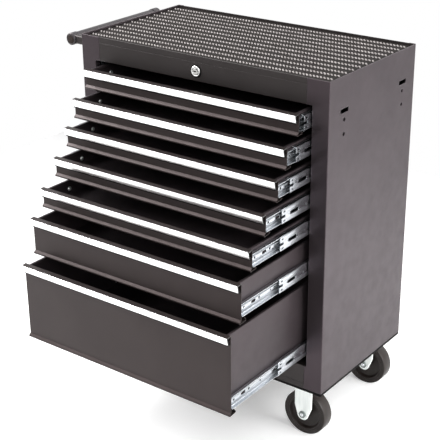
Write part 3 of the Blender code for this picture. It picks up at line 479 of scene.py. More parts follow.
TRIM_INSET = 0.0013
TRIM_REACH = 0.0108
TRIM_SLOPE = 0.0011
TRIM_PLATE = 0.0144
TRIM_LEAN = 0.0030
TRIM_BACK = 0.0015
TRIM_WALL = 0.0014
TRIM_BEND = 0.0006
TRIM_END = 0.0003
TRIM_LID = 0.0004
# A black strip behind the trim's foot: painted shade for the dark gap under the trim.
FOOT_SHADE_GAP = 0.0001
FOOT_SHADE_INSET = 0.0020
FOOT_SHADE_DROP = 0.0032
FOOT_SHADE_RISE = 0.003


class Drawer:
    """Where one drawer's main lines are at rest, from its nodes' boxes."""

    def __init__(self, number):
        self.number = number
        self.body = f"drawer_{number}_body"
        low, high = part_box(f"drawer_{number}")
        trim_low, trim_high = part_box(f"drawer_{number}_trim")
        self.face = high.y - DRAWER_DEPTH
        self.rear = high.y
        self.bottom = low.z
        self.top = trim_high.z
        self.left = trim_low.x - TRIM_INSET
        self.right = trim_high.x + TRIM_INSET
        rise = SHALLOW_RAIL_RISE if number <= SHALLOW_DRAWERS else DEEP_RAIL_RISE
        self.rail_z = self.bottom + rise
        self.rail_bottom = self.rail_z - DRAWER_RAIL_HEIGHT / 2
        self.pan_left = CORNER.x + PAN_FROM_SIDE
        self.pan_right = BODY_RIGHT - PAN_FROM_SIDE
        self.floor = self.rail_bottom - PAN_RAIL_GAP


def drawer_front(drawer):
    """The bent front: face, lip that leans forward at its foot, and hook behind it."""
    inner = drawer.face + SHEET
    back = inner + HOOK_DEPTH
    base = drawer.bottom + SHEET
    hook_top = drawer.rail_bottom - HOOK_RAIL_GAP
    path = [
        (back - HOOK_CURL, hook_top - SHEET),
        (back, base + HOOK_CLIMB),
        (inner - LIP_REACH, base),
        (inner - LIP_REACH, base + NOSE_HEIGHT),
        (inner, drawer.bottom + LIP_RISE),
        (inner, drawer.top - FRONT_TOP_DROP),
    ]
    bm = bmesh.new()
    add_sheet(bm, path, SHEET, "YZ", drawer.left, drawer.right, FRONT_BEND)
    obj = piece(f"drawer_{drawer.number}_front", bm, DRAWER_PAINT, drawer.body)
    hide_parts(f"drawer_{drawer.number}")


def drawer_pan(drawer):
    """Sides with a hem along their tops and the floor in one bent sheet, and the back."""
    rim = drawer.top - PAN_TOP_DROP
    left = drawer.pan_left
    right = drawer.pan_right
    path = [
        (left + PAN_HEM, rim - PAN_HEM_TURN),
        (left + PAN_HEM, rim),
        (left, rim),
        (left, drawer.floor),
        (right, drawer.floor),
        (right, rim),
        (right - PAN_HEM, rim),
        (right - PAN_HEM, rim - PAN_HEM_TURN),
    ]
    bm = bmesh.new()
    add_sheet(bm, path, SHEET, "XZ", drawer.face + PAN_FRONT_GAP, drawer.rear, PAN_BEND)
    back = drawer.rear - PAN_BACK_GAP
    top = rim - BACK_FLANGE_DROP
    path = [(back - BACK_FLANGE, top), (back, top), (back, drawer.floor + SHEET)]
    add_sheet(bm, path, -SHEET, "YZ", left + SHEET, right - SHEET, BACK_BEND, 3)
    obj = piece(f"drawer_{drawer.number}_pan", bm, PAN_PAINT, drawer.body)


def pan_rivets(drawer):
    """The rivets of the slides, seen inside the pan."""
    bm = bmesh.new()
    for along in RIVETS_FROM_FACE:
        for x, side in ((drawer.pan_left + SHEET, 1), (drawer.pan_right - SHEET, -1)):
            place = (x, drawer.face + along, drawer.rail_z - RIVET_DROP)
            head = [(radius, side * height) for radius, height in RIVET_HEAD]
            add_lathe(bm, head, place, "X", 24)
    obj = piece(f"drawer_{drawer.number}_rivets", bm, FORK_ZINC, drawer.body)


def trim_profile(drawer):
    """The trim's foot, its brow in front, and the place behind it where the top starts."""
    nose = drawer.face - TRIM_REACH
    brow = drawer.top - TRIM_SLOPE
    foot = (nose + TRIM_LEAN, brow - TRIM_PLATE)
    return foot, (nose, brow), (drawer.face + TRIM_BACK, drawer.top)


def add_trim_sheet(bm, drawer, left, right):
    add_sheet(bm, trim_profile(drawer), -TRIM_WALL, "YZ", left, right, TRIM_BEND)


def drawer_trim(drawer):
    """The bright handle trim, the painted lid on its top, its ends coloured dark as painted shade,
    and a black strip behind its foot that is painted shade.
    """
    left = drawer.left + TRIM_INSET
    right = drawer.right - TRIM_INSET
    bm = bmesh.new()
    add_trim_sheet(bm, drawer, left, right)
    obj = piece(f"drawer_{drawer.number}_handle", bm, ALUMINIUM, drawer.body)
    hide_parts(f"drawer_{drawer.number}_trim")
    foot, brow, back = trim_profile(drawer)
    lid = [(brow[0] + TRIM_LID, brow[1] + TRIM_LID), (back[0], back[1] + TRIM_LID)]
    bm = bmesh.new()
    add_sheet(bm, lid, -TRIM_LID, "YZ", left - TRIM_END, right + TRIM_END)
    top = piece(f"drawer_{drawer.number}_brow", bm, DRAWER_PAINT, drawer.body)
    bm = bmesh.new()
    # Thin slabs over both ends, coloured dark as painted shade of the hollow inside the trim.
    add_trim_sheet(bm, drawer, left - TRIM_END, left)
    add_trim_sheet(bm, drawer, right, right + TRIM_END)
    ends = piece(f"drawer_{drawer.number}_handle_shaded_ends", bm, TRIM_END_SHADE, drawer.body)
    # The black strip behind the foot is painted shade for the gap under the trim.
    front = foot[0] + TRIM_WALL + FOOT_SHADE_GAP
    outline = rectangle(front, drawer.face - FOOT_SHADE_GAP, foot[1] - FOOT_SHADE_DROP, foot[1] + FOOT_SHADE_RISE)
    bm = bmesh.new()
    add_plate(bm, outline, "YZ", drawer.left + FOOT_SHADE_INSET, drawer.right - FOOT_SHADE_INSET)
    foot_shade = piece(f"drawer_{drawer.number}_handle_foot_shade", bm, PAINTED_SHADE, drawer.body)
    soften(foot_shade, 0.0005)


# Slides

RAIL_SHEET = 0.0012
RIDGE_DEPTH = 0.0022
RIDGE_SLOPE = 0.0010
HOLE_REACH = 0.004

DRAWER_RAIL_FROM_SIDE = 0.0501
DRAWER_RAIL_FRONT = 0.002
DRAWER_RAIL_LENGTH = 0.296
DRAWER_RAIL_DEPTH = 0.0094
DRAWER_RAIL_BEND = 0.0022
DRAWER_RAIL_RIDGE = 0.0034

MIDDLE_RAIL_LENGTH = 0.300
MIDDLE_RAIL_HEIGHT = 0.031
MIDDLE_RAIL_DEPTH = 0.0085
MIDDLE_RAIL_BEND = 0.0026
MIDDLE_RAIL_NOTCH = (-0.002, 0.012, -0.0026, 0.0026)

# Holes: place along the rail, place above its middle, length, height
DRAWER_RAIL_HOLES = (
    (0.0130, 0.0, 0.0050, 0.0050),
    (0.0435, 0.0, 0.0145, 0.0060),
    (0.0620, 0.0, 0.0055, 0.0055),
    (0.1000, 0.0, 0.0042, 0.0042),
    (0.1500, 0.0, 0.012, 0.0045),
    (0.2200, 0.0, 0.0042, 0.0042),
    (0.2600, 0.0, 0.012, 0.0045),
)
MIDDLE_RAIL_HOLES = (
    (0.0080, 0.0092, 0.0075, 0.0030),
    (0.0080, -0.0092, 0.0075, 0.0030),
    (0.0420, 0.0, 0.030, 0.0072),
    (0.0820, 0.0, 0.0045, 0.0045),
    (0.1300, 0.0, 0.030, 0.0072),
    (0.2000, 0.0, 0.0045, 0.0045),
    (0.2500, 0.0, 0.030, 0.0072),
)


def rail_mesh(name, depth, height, length, holes, bend, ridge=0.0):
    """A C rail along Y from zero, its web at x = 0, flanges towards +X by depth."""
    half = height / 2
    path = [(depth, half), (0.0, half)]
    if ridge:
        path += [(0.0, ridge + RIDGE_SLOPE), (RIDGE_DEPTH, ridge)]
        path += [(RIDGE_DEPTH, -ridge), (0.0, -ridge - RIDGE_SLOPE)]
    path += [(0.0, -half), (depth, -half)]
    bm = bmesh.new()
    add_sheet(bm, path, RAIL_SHEET, "XZ", 0, length, bend)
    bmesh.ops.recalc_face_normals(bm, faces=bm.faces)
    mesh = bpy.data.meshes.new(name)
    bm.to_mesh(mesh)
    bm.free()
    obj = bpy.data.objects.new(name, mesh)
    bpy.context.scene.collection.objects.link(obj)
    cut(obj, [(outline, "YZ", -HOLE_REACH, HOLE_REACH) for outline in holes])
    done = obj.data
    bpy.data.objects.remove(obj)
    return done


def mirrored(mesh, name):
    """A copy of a mesh seen in a mirror across X."""
    other = mesh.copy()
    other.name = name
    bm = bmesh.new()
    bm.from_mesh(other)
    bmesh.ops.scale(bm, vec=(-1, 1, 1), verts=bm.verts)
    bmesh.ops.reverse_faces(bm, faces=bm.faces)
    bm.to_mesh(other)
    bm.free()
    return other


def drawer_rails():
    """The inner members: on each side of each drawer, open outwards, with slots in the web."""
    right = rail_mesh(
        "drawer_rail_right",
        DRAWER_RAIL_DEPTH,
        DRAWER_RAIL_HEIGHT,
        DRAWER_RAIL_LENGTH,
        [slot_outline(*hole) for hole in DRAWER_RAIL_HOLES],
        DRAWER_RAIL_BEND,
        DRAWER_RAIL_RIDGE,
    )
    left = mirrored(right, "drawer_rail_left")
    for drawer in DRAWER_LIST:
        y = drawer.face + DRAWER_RAIL_FRONT
        for side, mesh, x in (
            ("right", right, BODY_RIGHT - DRAWER_RAIL_FROM_SIDE),
            ("left", left, CORNER.x + DRAWER_RAIL_FROM_SIDE),
        ):
            name = f"drawer_{drawer.number}_rail_{side}"
            obj = piece_of(name, mesh, ZINC, drawer.body, 30.0, (x, y, drawer.rail_z))


def middle_rails():
    """The middle members, which follow each drawer on both sides."""
    left = rail_mesh(
        "middle_rail_left",
        MIDDLE_RAIL_DEPTH,
        MIDDLE_RAIL_HEIGHT,
        MIDDLE_RAIL_LENGTH,
        [*(slot_outline(*hole) for hole in MIDDLE_RAIL_HOLES), rectangle(*MIDDLE_RAIL_NOTCH)],
        MIDDLE_RAIL_BEND,
    )
    right = mirrored(left, "middle_rail_right")
    for drawer in DRAWER_LIST:
        low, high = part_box(f"middle_rail_{drawer.number}_right")
        for side, mesh, x in (
            ("right", right, high.x),
            ("left", left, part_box(f"middle_rail_{drawer.number}_left")[0].x),
        ):
            name = f"slide_{drawer.number}_middle_{side}"
            place = (x, low.y, (low.z + high.z) / 2)
            obj = piece_of(name, mesh, ZINC, f"rails_{drawer.number}", 30.0, place)
            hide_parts(f"middle_rail_{drawer.number}_{side}")


# Small parts of the body

# Black strip round the base: painted shade for the dark line under the panels.
BASE_SHADE_INSET = 0.0006
BASE_SHADE_DROP = 0.0058
TAB_FROM_SIDE = (0.034, 0.044)
TAB_FROM_FRONT = 0.032
TAB_LIFT = 0.5935
TAB_DEPTH = 0.0012
TAB_HEIGHT = 0.0026


def base_shade_line():
    """A black strip round the bottom edge, where the bottom is folded: painted shade for the dark
    line below the panels.
    """
    outer = rectangle(
        CORNER.x + BASE_SHADE_INSET, BODY_RIGHT - BASE_SHADE_INSET, CORNER.y + BASE_SHADE_INSET, BODY_BACK - BASE_SHADE_INSET
    )
    bm = bmesh.new()
    for start, end in zip(outer, outer[1:] + outer[:1]):
        u = sorted((start[0], end[0]))
        v = sorted((start[1], end[1]))
        along_x = u[1] - u[0] > v[1] - v[0]
        if along_x:
            strip = rectangle(u[0], u[1], v[0] - SHEET / 2, v[1] + SHEET / 2)
        else:
            strip = rectangle(u[0] - SHEET / 2, u[1] + SHEET / 2, v[0] + SHEET, v[1] - SHEET)
        add_plate(bm, strip, "XY", CORNER.z - BASE_SHADE_DROP, CORNER.z)
    obj = piece("base_shade_line", bm, PAINTED_SHADE, "cabinet")


def rack_tabs():
    """The bright tabs bent out of the racks' front uprights above the first drawer."""
    bm = bmesh.new()
    low_y = CORNER.y + TAB_FROM_FRONT
    z = CORNER.z + TAB_LIFT
    near, far = TAB_FROM_SIDE
    for low_x, high_x in ((CORNER.x + near, CORNER.x + far), (BODY_RIGHT - far, BODY_RIGHT - near)):
        outline = rectangle(low_x, high_x, low_y, low_y + TAB_DEPTH)
        add_plate(bm, outline, "XY", z, z + TAB_HEIGHT)
    obj = piece("rack_tabs", bm, FORK_ZINC, "cabinet")


# Mat

MAT_CORNER = 0.002
MAT_MARGIN_LEFT = 0.005
MAT_MARGIN_RIGHT = 0.006
MAT_MARGIN_FRONT = 0.0006
STROKE_RISE = 0.0011
STROKE_SUNK = 0.0004
STROKE_LENGTH = 0.0104
STROKE_WIDTH = 0.0033
STROKE_LEAN = math.radians(43.0)
STROKE_STEP = 0.0077
# How much of its width and length a stroke keeps at its top
STROKE_TOP = (0.85, 0.94)
ROWS = 13
ROW_PITCH = 0.0254
ROW_TURN = math.radians(0.2)
ROW_PIVOT = 0.308
FIRST_ROW = 0.0040
FIRST_ROW_START = 0.360


def tray_mat():
    """The rubber mat in the tray: a thin dark base with rows of raised slanted strokes, coloured
    pale as a painted highlight on their tops.
    """
    low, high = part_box("tray_mat")
    base_top = high.z - STROKE_RISE
    bm = bmesh.new()
    outline = rounded_loop(rectangle(low.x, high.x, low.y, high.y), MAT_CORNER, 4)
    add_plate(bm, outline, "XY", low.z, base_top)
    base = piece("mat", bm, MAT_BASE, "cabinet")
    soften(base, 0.0006)
    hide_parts("tray_mat")
    turn = Matrix.Rotation(ROW_TURN, 4, "Z")
    lean = Matrix.Rotation(STROKE_LEAN, 4, "Z")
    middle = CORNER.x + ROW_PIVOT
    edge = STROKE_WIDTH / 2
    half = STROKE_LENGTH / 2
    top_edge = edge * STROKE_TOP[0]
    top_half = half * STROKE_TOP[1]
    levels = (
        (rectangle(-edge, edge, -half, half), base_top - STROKE_SUNK),
        (rectangle(-top_edge, top_edge, -top_half, top_half), high.z),
    )
    bm = bmesh.new()
    for row in range(ROWS):
        start = CORNER.x + FIRST_ROW_START if row == 0 else low.x + MAT_MARGIN_LEFT
        y = CORNER.y + FIRST_ROW + row * ROW_PITCH
        count = int((high.x - MAT_MARGIN_RIGHT - start) / STROKE_STEP)
        for number in range(count + 1):
            along = Vector((start + number * STROKE_STEP - middle, 0, 0))
            matrix = Matrix.Translation((middle, y, 0)) @ turn @ Matrix.Translation(along) @ lean
            rings = []
            for outline, z in levels:
                ring = [matrix @ Vector((u, v, z)) for u, v in outline]
                for corner in ring:
                    corner.y = max(corner.y, low.y + MAT_MARGIN_FRONT)
                rings.append([bm.verts.new(corner) for corner in ring])
            bottom, top = rings
            bm.faces.new(top)
            for corner in range(4):
                after = (corner + 1) % 4
                bm.faces.new((bottom[corner], bottom[after], top[after], top[corner]))
    # The strokes' pale colour is a painted highlight.
    strokes = piece("mat_strokes", bm, MAT_STROKE_HIGHLIGHT, "cabinet", 50.0)


# Wheels and casters

WHEEL_RADIUS = 0.0500
WHEEL_HALF = 0.015
HUB_HALF = 0.017

LEG_INSIDE = 0.018
LEG_OUTSIDE = 0.021
LEG_RIM = 0.0032
LEG_RIM_SLOPE = 0.0008
LEG_SINK = 0.0010
FOOT_START = math.radians(196)
FOOT_SWEEP = math.radians(148)
FOOT_STEPS = 14

PLATE_GAP = 0.0003
PLATE_THICKNESS = 0.003
PLATE_HALF_X = 0.046
PLATE_HALF_Y = 0.032
PLATE_CORNER = 0.006
BOLT_X = 0.0375
BOLT_Y = 0.0225
# Under the plate: the nut's radius, bottom and top, then (radius, height) of washer and bolt end
BOLT_NUT = (0.0080, -0.0085, -0.002)
BOLT_WASHER = ((0.0, -0.0024), (0.0102, -0.0024), (0.0108, -0.0014), (0.0108, 0.0))
BOLT_END = ((0.0, -0.0110), (0.0036, -0.0110), (0.0040, -0.0105), (0.0040, -0.0080))
RIGID_LEG_LEFT = 0.020
RIGID_LEG_RIGHT = 0.022
RIGID_SHOULDER = 0.053
RIGID_FOOT = 0.0135

SWIVEL_OFFSET = 0.032
SWIVEL_LEG_LEFT = 0.024
SWIVEL_LEG_RIGHT = 0.020
SWIVEL_LEG_DROP = 0.003
SWIVEL_SHOULDER = 0.014
SWIVEL_FOOT = 0.012
SWIVEL_FOOT_RISE = 0.004
# Half section of the fork's crown: radius, drop below its top
SWIVEL_CROWN = (
    (0.0070, 0.0),
    (0.0210, 0.0),
    (0.0240, 0.0012),
    (0.0250, 0.004),
    (0.0250, 0.0078),
    (0.0070, 0.0078),
    (0.0070, 0.0),
)

AXLE_RADIUS = 0.004
AXLE_TIP = 0.0036
AXLE_INSET = 0.0002
AXLE_CHAMFER = 0.0008
AXLE_NUT = 0.0086
AXLE_NUT_OUTSIDE = 0.0012
AXLE_NUT_INSIDE = 0.0046


def wheel_profile():
    """Section of a wheel with its tyre above its axis, from one side of the hub to the other."""
    side = [
        (0.0043, HUB_HALF),
        (0.0105, HUB_HALF),
        (0.0120, HUB_HALF - 0.0012),
        (0.0125, 0.0085),
        (0.0145, 0.0072),
        (0.0300, 0.0068),
        (0.0340, 0.0076),
        (0.0352, 0.0100),
        (0.0362, WHEEL_HALF - 0.0018),
        (0.0372, WHEEL_HALF - 0.0008),
        (0.0385, WHEEL_HALF - 0.0008),
        (0.0392, WHEEL_HALF - 0.0014),
        (0.0400, WHEEL_HALF - 0.0008),
        (0.0420, WHEEL_HALF - 0.0004),
        (0.0428, WHEEL_HALF - 0.0010),
        (0.0436, WHEEL_HALF - 0.0004),
        (0.0455, WHEEL_HALF - 0.0004),
        (0.0463, WHEEL_HALF - 0.0010),
        (0.0471, WHEEL_HALF - 0.0004),
        (0.0486, WHEEL_HALF - 0.0005),
        (0.0495, WHEEL_HALF - 0.0011),
        (WHEEL_RADIUS, WHEEL_HALF - 0.0024),
    ]
    other = [(radius, -along) for radius, along in reversed(side)]
    return side + [(WHEEL_RADIUS, 0.0)] + other


def wheels():
    for place in ("right_front", "right_rear", "left_front", "left_rear"):
        low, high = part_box(f"wheel_{place}")
        centre = (low + high) / 2
        centre.z = high.z - WHEEL_RADIUS
        name = f"caster_wheel_{place}"
        obj = lathe(name, wheel_profile(), centre, TYRE, f"{place}_wheel", 96, 25.0)
        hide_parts(f"wheel_{place}")


def round_foot(x, z, radius):
    """The arc under the axle, at the lower end of a caster's leg."""
    points = []
    for step in range(FOOT_STEPS + 1):
        angle = FOOT_START + FOOT_SWEEP * step / FOOT_STEPS
        points.append((x + radius * math.cos(angle), z + radius * math.sin(angle)))
    return points


def add_legs(bm, outline, y):
    """Two pressed legs about y: plates whose middle is sunk inside a raised rim."""
    for side in (1, -1):
        far = add_plate(bm, outline, "XZ", y + side * LEG_INSIDE, y + side * LEG_OUTSIDE)
        face = next(face for face in bm.faces if set(face.verts) == set(far))
        bmesh.ops.inset_region(bm, faces=[face], thickness=LEG_RIM, depth=0.0)
        bmesh.ops.inset_region(bm, faces=[face], thickness=LEG_RIM_SLOPE, depth=-LEG_SINK)


def hex_nut(bm, centre, radius, low, high, plane):
    outline = []
    for step in range(6):
        angle = math.pi / 3 * step
        outline.append((centre[0] + radius * math.cos(angle), centre[1] + radius * math.sin(angle)))
    add_plate(bm, outline, plane, low, high)


def rigid_forks():
    """The two fixed forks with their top plates, and the bolts that hold the plates."""
    for place in ("front", "rear"):
        name = f"rigid_fork_{place}"
        axle_low, axle_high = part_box(f"axle_right_{place}")
        centre = (axle_low + axle_high) / 2
        plate_top = CORNER.z - PLATE_GAP
        plate_bottom = plate_top - PLATE_THICKNESS
        bm = bmesh.new()
        plate = rectangle(
            centre.x - PLATE_HALF_X,
            centre.x + PLATE_HALF_X,
            centre.y - PLATE_HALF_Y,
            centre.y + PLATE_HALF_Y,
        )
        add_plate(bm, rounded_loop(plate, PLATE_CORNER), "XY", plate_bottom, plate_top)
        left = centre.x - RIGID_LEG_LEFT
        right = centre.x + RIGID_LEG_RIGHT
        shoulder = plate_bottom - RIGID_SHOULDER
        outline = [
            (left, plate_bottom),
            (left, shoulder),
            *round_foot(centre.x, centre.z, RIGID_FOOT),
            (right, shoulder),
            (right, plate_bottom),
        ]
        add_legs(bm, outline, centre.y)
        obj = piece(f"fork_right_{place}", bm, FORK_ZINC, "cabinet", 40.0)
        soften(obj, 0.0008, 2, 40)
        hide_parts(name)
        nut, nut_bottom, nut_top = BOLT_NUT
        bm = bmesh.new()
        for along in (-BOLT_X, BOLT_X):
            for over in (-BOLT_Y, BOLT_Y):
                spot = (centre.x + along, centre.y + over)
                add_lathe(bm, BOLT_WASHER, (*spot, plate_bottom), "Z", 28)
                hex_nut(bm, spot, nut, plate_bottom + nut_bottom, plate_bottom + nut_top, "XY")
                add_lathe(bm, BOLT_END, (*spot, plate_bottom), "Z", 20)
        bolts = piece(f"fork_bolts_right_{place}", bm, BOLT_ZINC, "cabinet", 30.0)
        soften(bolts, 0.0004)


def axles():
    """The four axles, each with a nut at both ends."""
    bodies = {
        "right_front": "cabinet",
        "right_rear": "cabinet",
        "left_front": "swivel_front",
        "left_rear": "swivel_rear",
    }
    for place, body in bodies.items():
        low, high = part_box(f"axle_{place}")
        centre = (low + high) / 2
        profile = [
            (0.0, low.y + AXLE_INSET),
            (AXLE_TIP, low.y + AXLE_INSET),
            (AXLE_RADIUS, low.y + AXLE_CHAMFER),
            (AXLE_RADIUS, high.y - AXLE_CHAMFER),
            (AXLE_TIP, high.y - AXLE_INSET),
            (0.0, high.y - AXLE_INSET),
        ]
        profile = [(radius, along - centre.y) for radius, along in profile]
        obj = lathe(f"caster_axle_{place}", profile, centre, BOLT_ZINC, body, 32)
        soften(obj, 0.0004)
        spot = (centre.x, centre.z)
        bm = bmesh.new()
        hex_nut(bm, spot, AXLE_NUT, low.y + AXLE_NUT_OUTSIDE, low.y + AXLE_NUT_INSIDE, "XZ")
        hex_nut(bm, spot, AXLE_NUT, high.y - AXLE_NUT_INSIDE, high.y - AXLE_NUT_OUTSIDE, "XZ")
        nuts = piece(f"axle_nuts_{place}", bm, NUT_ZINC, body, 30.0)
        soften(nuts, 0.0008)
        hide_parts(f"axle_{place}")


def swivel_forks():
    """The two forks that turn under their plates, each with its crown."""
    for place in ("front", "rear"):
        name = f"swivel_fork_{place}"
        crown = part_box(name)[1].z
        axle_low, axle_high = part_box(f"axle_left_{place}")
        foot = (axle_low + axle_high) / 2
        pin_x = foot.x + SWIVEL_OFFSET
        right = pin_x + SWIVEL_LEG_RIGHT
        bm = bmesh.new()
        outline = [
            (pin_x - SWIVEL_LEG_LEFT, crown - SWIVEL_LEG_DROP),
            (foot.x - SWIVEL_FOOT, foot.z + SWIVEL_FOOT_RISE),
            *round_foot(foot.x, foot.z, SWIVEL_FOOT),
            (right, crown - SWIVEL_SHOULDER),
            (right, crown - SWIVEL_LEG_DROP),
        ]
        add_legs(bm, outline, foot.y)
        profile = [(radius, crown - drop) for radius, drop in SWIVEL_CROWN]
        add_lathe(bm, profile, (pin_x, foot.y, 0), "Z")
        obj = piece(f"fork_left_{place}", bm, FORK_ZINC, f"swivel_{place}", 40.0)
        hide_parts(name)


# Lock

LOCK_X = 0.306
LOCK_Z = 0.633
BEZEL_RADIUS = 0.0109
# Half sections: radius, depth behind the front
BEZEL = (
    (0.0078, 0.0020),
    (0.0078, 0.0006),
    (0.0084, 0.0),
    (0.0100, 0.0),
    (BEZEL_RADIUS, 0.0008),
    (BEZEL_RADIUS, 0.0022),
    (0.0094, 0.0022),
    (0.0094, 0.0180),
    (0.0, 0.0180),
)
# Black ring round the bezel: painted shade of the gap around it.
LOCK_SHADE_RING = (
    (BEZEL_RADIUS - 0.001, 0.0015),
    (BEZEL_RADIUS + 0.0020, 0.0015),
    (BEZEL_RADIUS + 0.0024, 0.0019),
    (BEZEL_RADIUS + 0.0024, 0.0022),
)
# Black disc behind the face, seen round its edge: painted shade of the groove round the plug.
LOCK_GROOVE_SHADE = ((0.0, 0.0016), (0.0080, 0.0016))
LOCK_DISC = ((0.0, 0.0002), (0.0066, 0.0002), (0.0070, 0.0006), (0.0070, 0.0018))
# Slots: place beside the lock's axis, length, height
KEY_SLOT = (-0.0012, 0.0078, 0.0024)
CAM_SLOT = (-0.009, 0.028, 0.010)
KEY_DEPTH = 0.0006
KEY_ARC_RADII = (0.0068, 0.0050)
KEY_ARC_SWEEP = 92.0
KEY_ARC_STEPS = 10
KEY_ARC_DEPTHS = (0.0001, 0.0008)
CAM_THICKNESS = 0.002


def lock():
    """The lock's bezel, disc and the cam behind, with black pieces that are painted shade: a ring
    round the bezel, the groove round the disc, the keyway and an arc along the plug's edge.
    """
    low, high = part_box("lock_cylinder")
    front = low.y
    centre = Vector((CORNER.x + LOCK_X, 0, CORNER.z + LOCK_Z))

    def turned(name, section, material, segments=64):
        profile = [(radius, front + depth) for radius, depth in section]
        return lathe(name, profile, centre, material, "lock", segments)

    obj = turned("lock_bezel", BEZEL, CHROME)
    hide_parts("lock_cylinder")
    bezel_shade = turned("lock_shade_ring", LOCK_SHADE_RING, PAINTED_SHADE)
    groove = turned("lock_groove_shade", LOCK_GROOVE_SHADE, PAINTED_SHADE, 48)
    disc = turned("lock_disc", LOCK_DISC, LOCK_FACE)
    bm = bmesh.new()
    # The keyway and an arc at the plug's upper right are black plates: painted shade of the slot
    # and of the groove.
    beside, length, height = KEY_SLOT
    outline = slot_outline(centre.x + beside, centre.z, length, height)
    add_plate(bm, outline, "XZ", front, front + KEY_DEPTH)
    sweep = [
        math.radians(KEY_ARC_SWEEP - KEY_ARC_SWEEP * step / KEY_ARC_STEPS)
        for step in range(KEY_ARC_STEPS + 1)
    ]
    arc = []
    for radius, angles in zip(KEY_ARC_RADII, (sweep, reversed(sweep))):
        for angle in angles:
            u = centre.x + math.cos(angle) * radius
            arc.append((u, centre.z + math.sin(angle) * radius))
    add_plate(bm, arc, "XZ", front + KEY_ARC_DEPTHS[0], front + KEY_ARC_DEPTHS[1])
    key = piece("lock_keyway", bm, PAINTED_SHADE, "lock", 30.0)
    bm = bmesh.new()
    beside, length, height = CAM_SLOT
    outline = slot_outline(centre.x + beside, centre.z, length, height, 10)
    add_plate(bm, outline, "XZ", high.y - CAM_THICKNESS, high.y)
    cam = piece("lock_cam", bm, ZINC, "lock", 30.0)


# Handle

TUBE_RADIUS = 0.0120
TUBE_WALL = 0.0015
BOSS_RADIUS = 0.0133
BOSS_LENGTH = 0.018
BOSS_EDGE = 0.0012
BOSS_FIT = 0.0001
# Radii of the groove in the boss's end, from inside to outside
END_GROOVE = (0.0094, 0.0098, 0.0108, 0.0112)
END_GROOVE_DEPTH = 0.0008
# Half section: radius, height above the boss's end
CAP = ((0.0, 0.0002), (0.0086, 0.0002), (0.0092, 0.0))
ARM_FROM_END = 0.009
ARM_CORNER = 0.004
ARM_HALF = (0.0065, 0.0095)
ARM_OFF_SIDE = 0.003
FOOT_PLATE_HALF = (0.009, 0.017)
FOOT_PLATE_OFF_SIDE = (0.0033, 0.0003)


def handle():
    """The grip tube and, at each end, its boss, the arm to the cart's side and the cap."""
    low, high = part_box("handle_tube")
    centre = (low + high) / 2
    half = (high.y - low.y) / 2
    inner = TUBE_RADIUS - TUBE_WALL
    profile = [(inner, -half), (TUBE_RADIUS, -half), (TUBE_RADIUS, half), (inner, half)]
    tube = lathe("grip_tube", profile, centre, HANDLE_PAINT, "cabinet")
    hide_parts("handle_tube")
    axis = (centre.x, 0, centre.z)
    for place, side in (("front", -1), ("rear", 1)):
        low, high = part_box(f"handle_bracket_{place}")
        end = low.y if side < 0 else high.y
        inside = end - side * BOSS_LENGTH
        groove_floor = end - side * END_GROOVE_DEPTH
        profile = [
            (0.0, end),
            (END_GROOVE[0], end),
            (END_GROOVE[1], groove_floor),
            (END_GROOVE[2], groove_floor),
            (END_GROOVE[3], end),
            (BOSS_RADIUS - BOSS_EDGE, end),
            (BOSS_RADIUS, end - side * BOSS_EDGE),
            (BOSS_RADIUS, inside),
            (TUBE_RADIUS + BOSS_FIT, inside),
        ]
        obj = lathe(f"grip_bracket_{place}", profile, axis, HANDLE_PAINT, "cabinet", 64, 35.0)
        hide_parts(f"handle_bracket_{place}")
        bm = bmesh.new()
        y = end - side * ARM_FROM_END
        z = centre.z
        outside, near = (CORNER.x - gap for gap in FOOT_PLATE_OFF_SIDE)
        for (half_y, half_z), start, stop in (
            (ARM_HALF, centre.x, CORNER.x - ARM_OFF_SIDE),
            (FOOT_PLATE_HALF, outside, near),
        ):
            outline = rectangle(y - half_y, y + half_y, z - half_z, z + half_z)
            add_plate(bm, rounded_loop(outline, ARM_CORNER), "YZ", start, stop)
        arms = piece(f"grip_arm_{place}", bm, BODY_PAINT, "cabinet", 35.0)
        soften(arms, 0.0008, 3)
        profile = [(radius, end + side * height) for radius, height in CAP]
        cap = lathe(f"grip_cap_{place}", profile, axis, CAP_PAINT, "cabinet", 48)


# Carried-over nodes

NODE_FINISHES = (
    (LIT_SIDE_PAINT, ("side_panel_left", "side_panel_right")),
    (BODY_PAINT, ("back_panel", "floor_panel", "bottom_rail", "apron", "top_tray")),
    (RACK_ZINC, ("slide_rack_left", "slide_rack_right")),
    (ZINC, ("lock_rod", "lock_bar")),
    (FORK_ZINC, ("swivel_plate_front", "swivel_plate_rear")),
    (BODY_PAINT, ("brake_pedal_front", "brake_pedal_rear")),
)


def paint_nodes():
    for material, names in NODE_FINISHES:
        for name in names:
            obj = frame["nodes"][name]
            if not obj.material_slots:
                obj.data.materials.append(material)
            for slot in obj.material_slots:
                slot.material = material


# Stage

ROOM_LEVEL = 0.18
FLOOR_GLOW = 0.29
FLOOR_THICKNESS = 0.02
FLOOR_OUTLINE = ((-1.5, -1.9), (2.4, -1.9), (2.4, 2.7), (-0.1, 2.7), (-0.1, 1.5), (-1.5, 1.5))
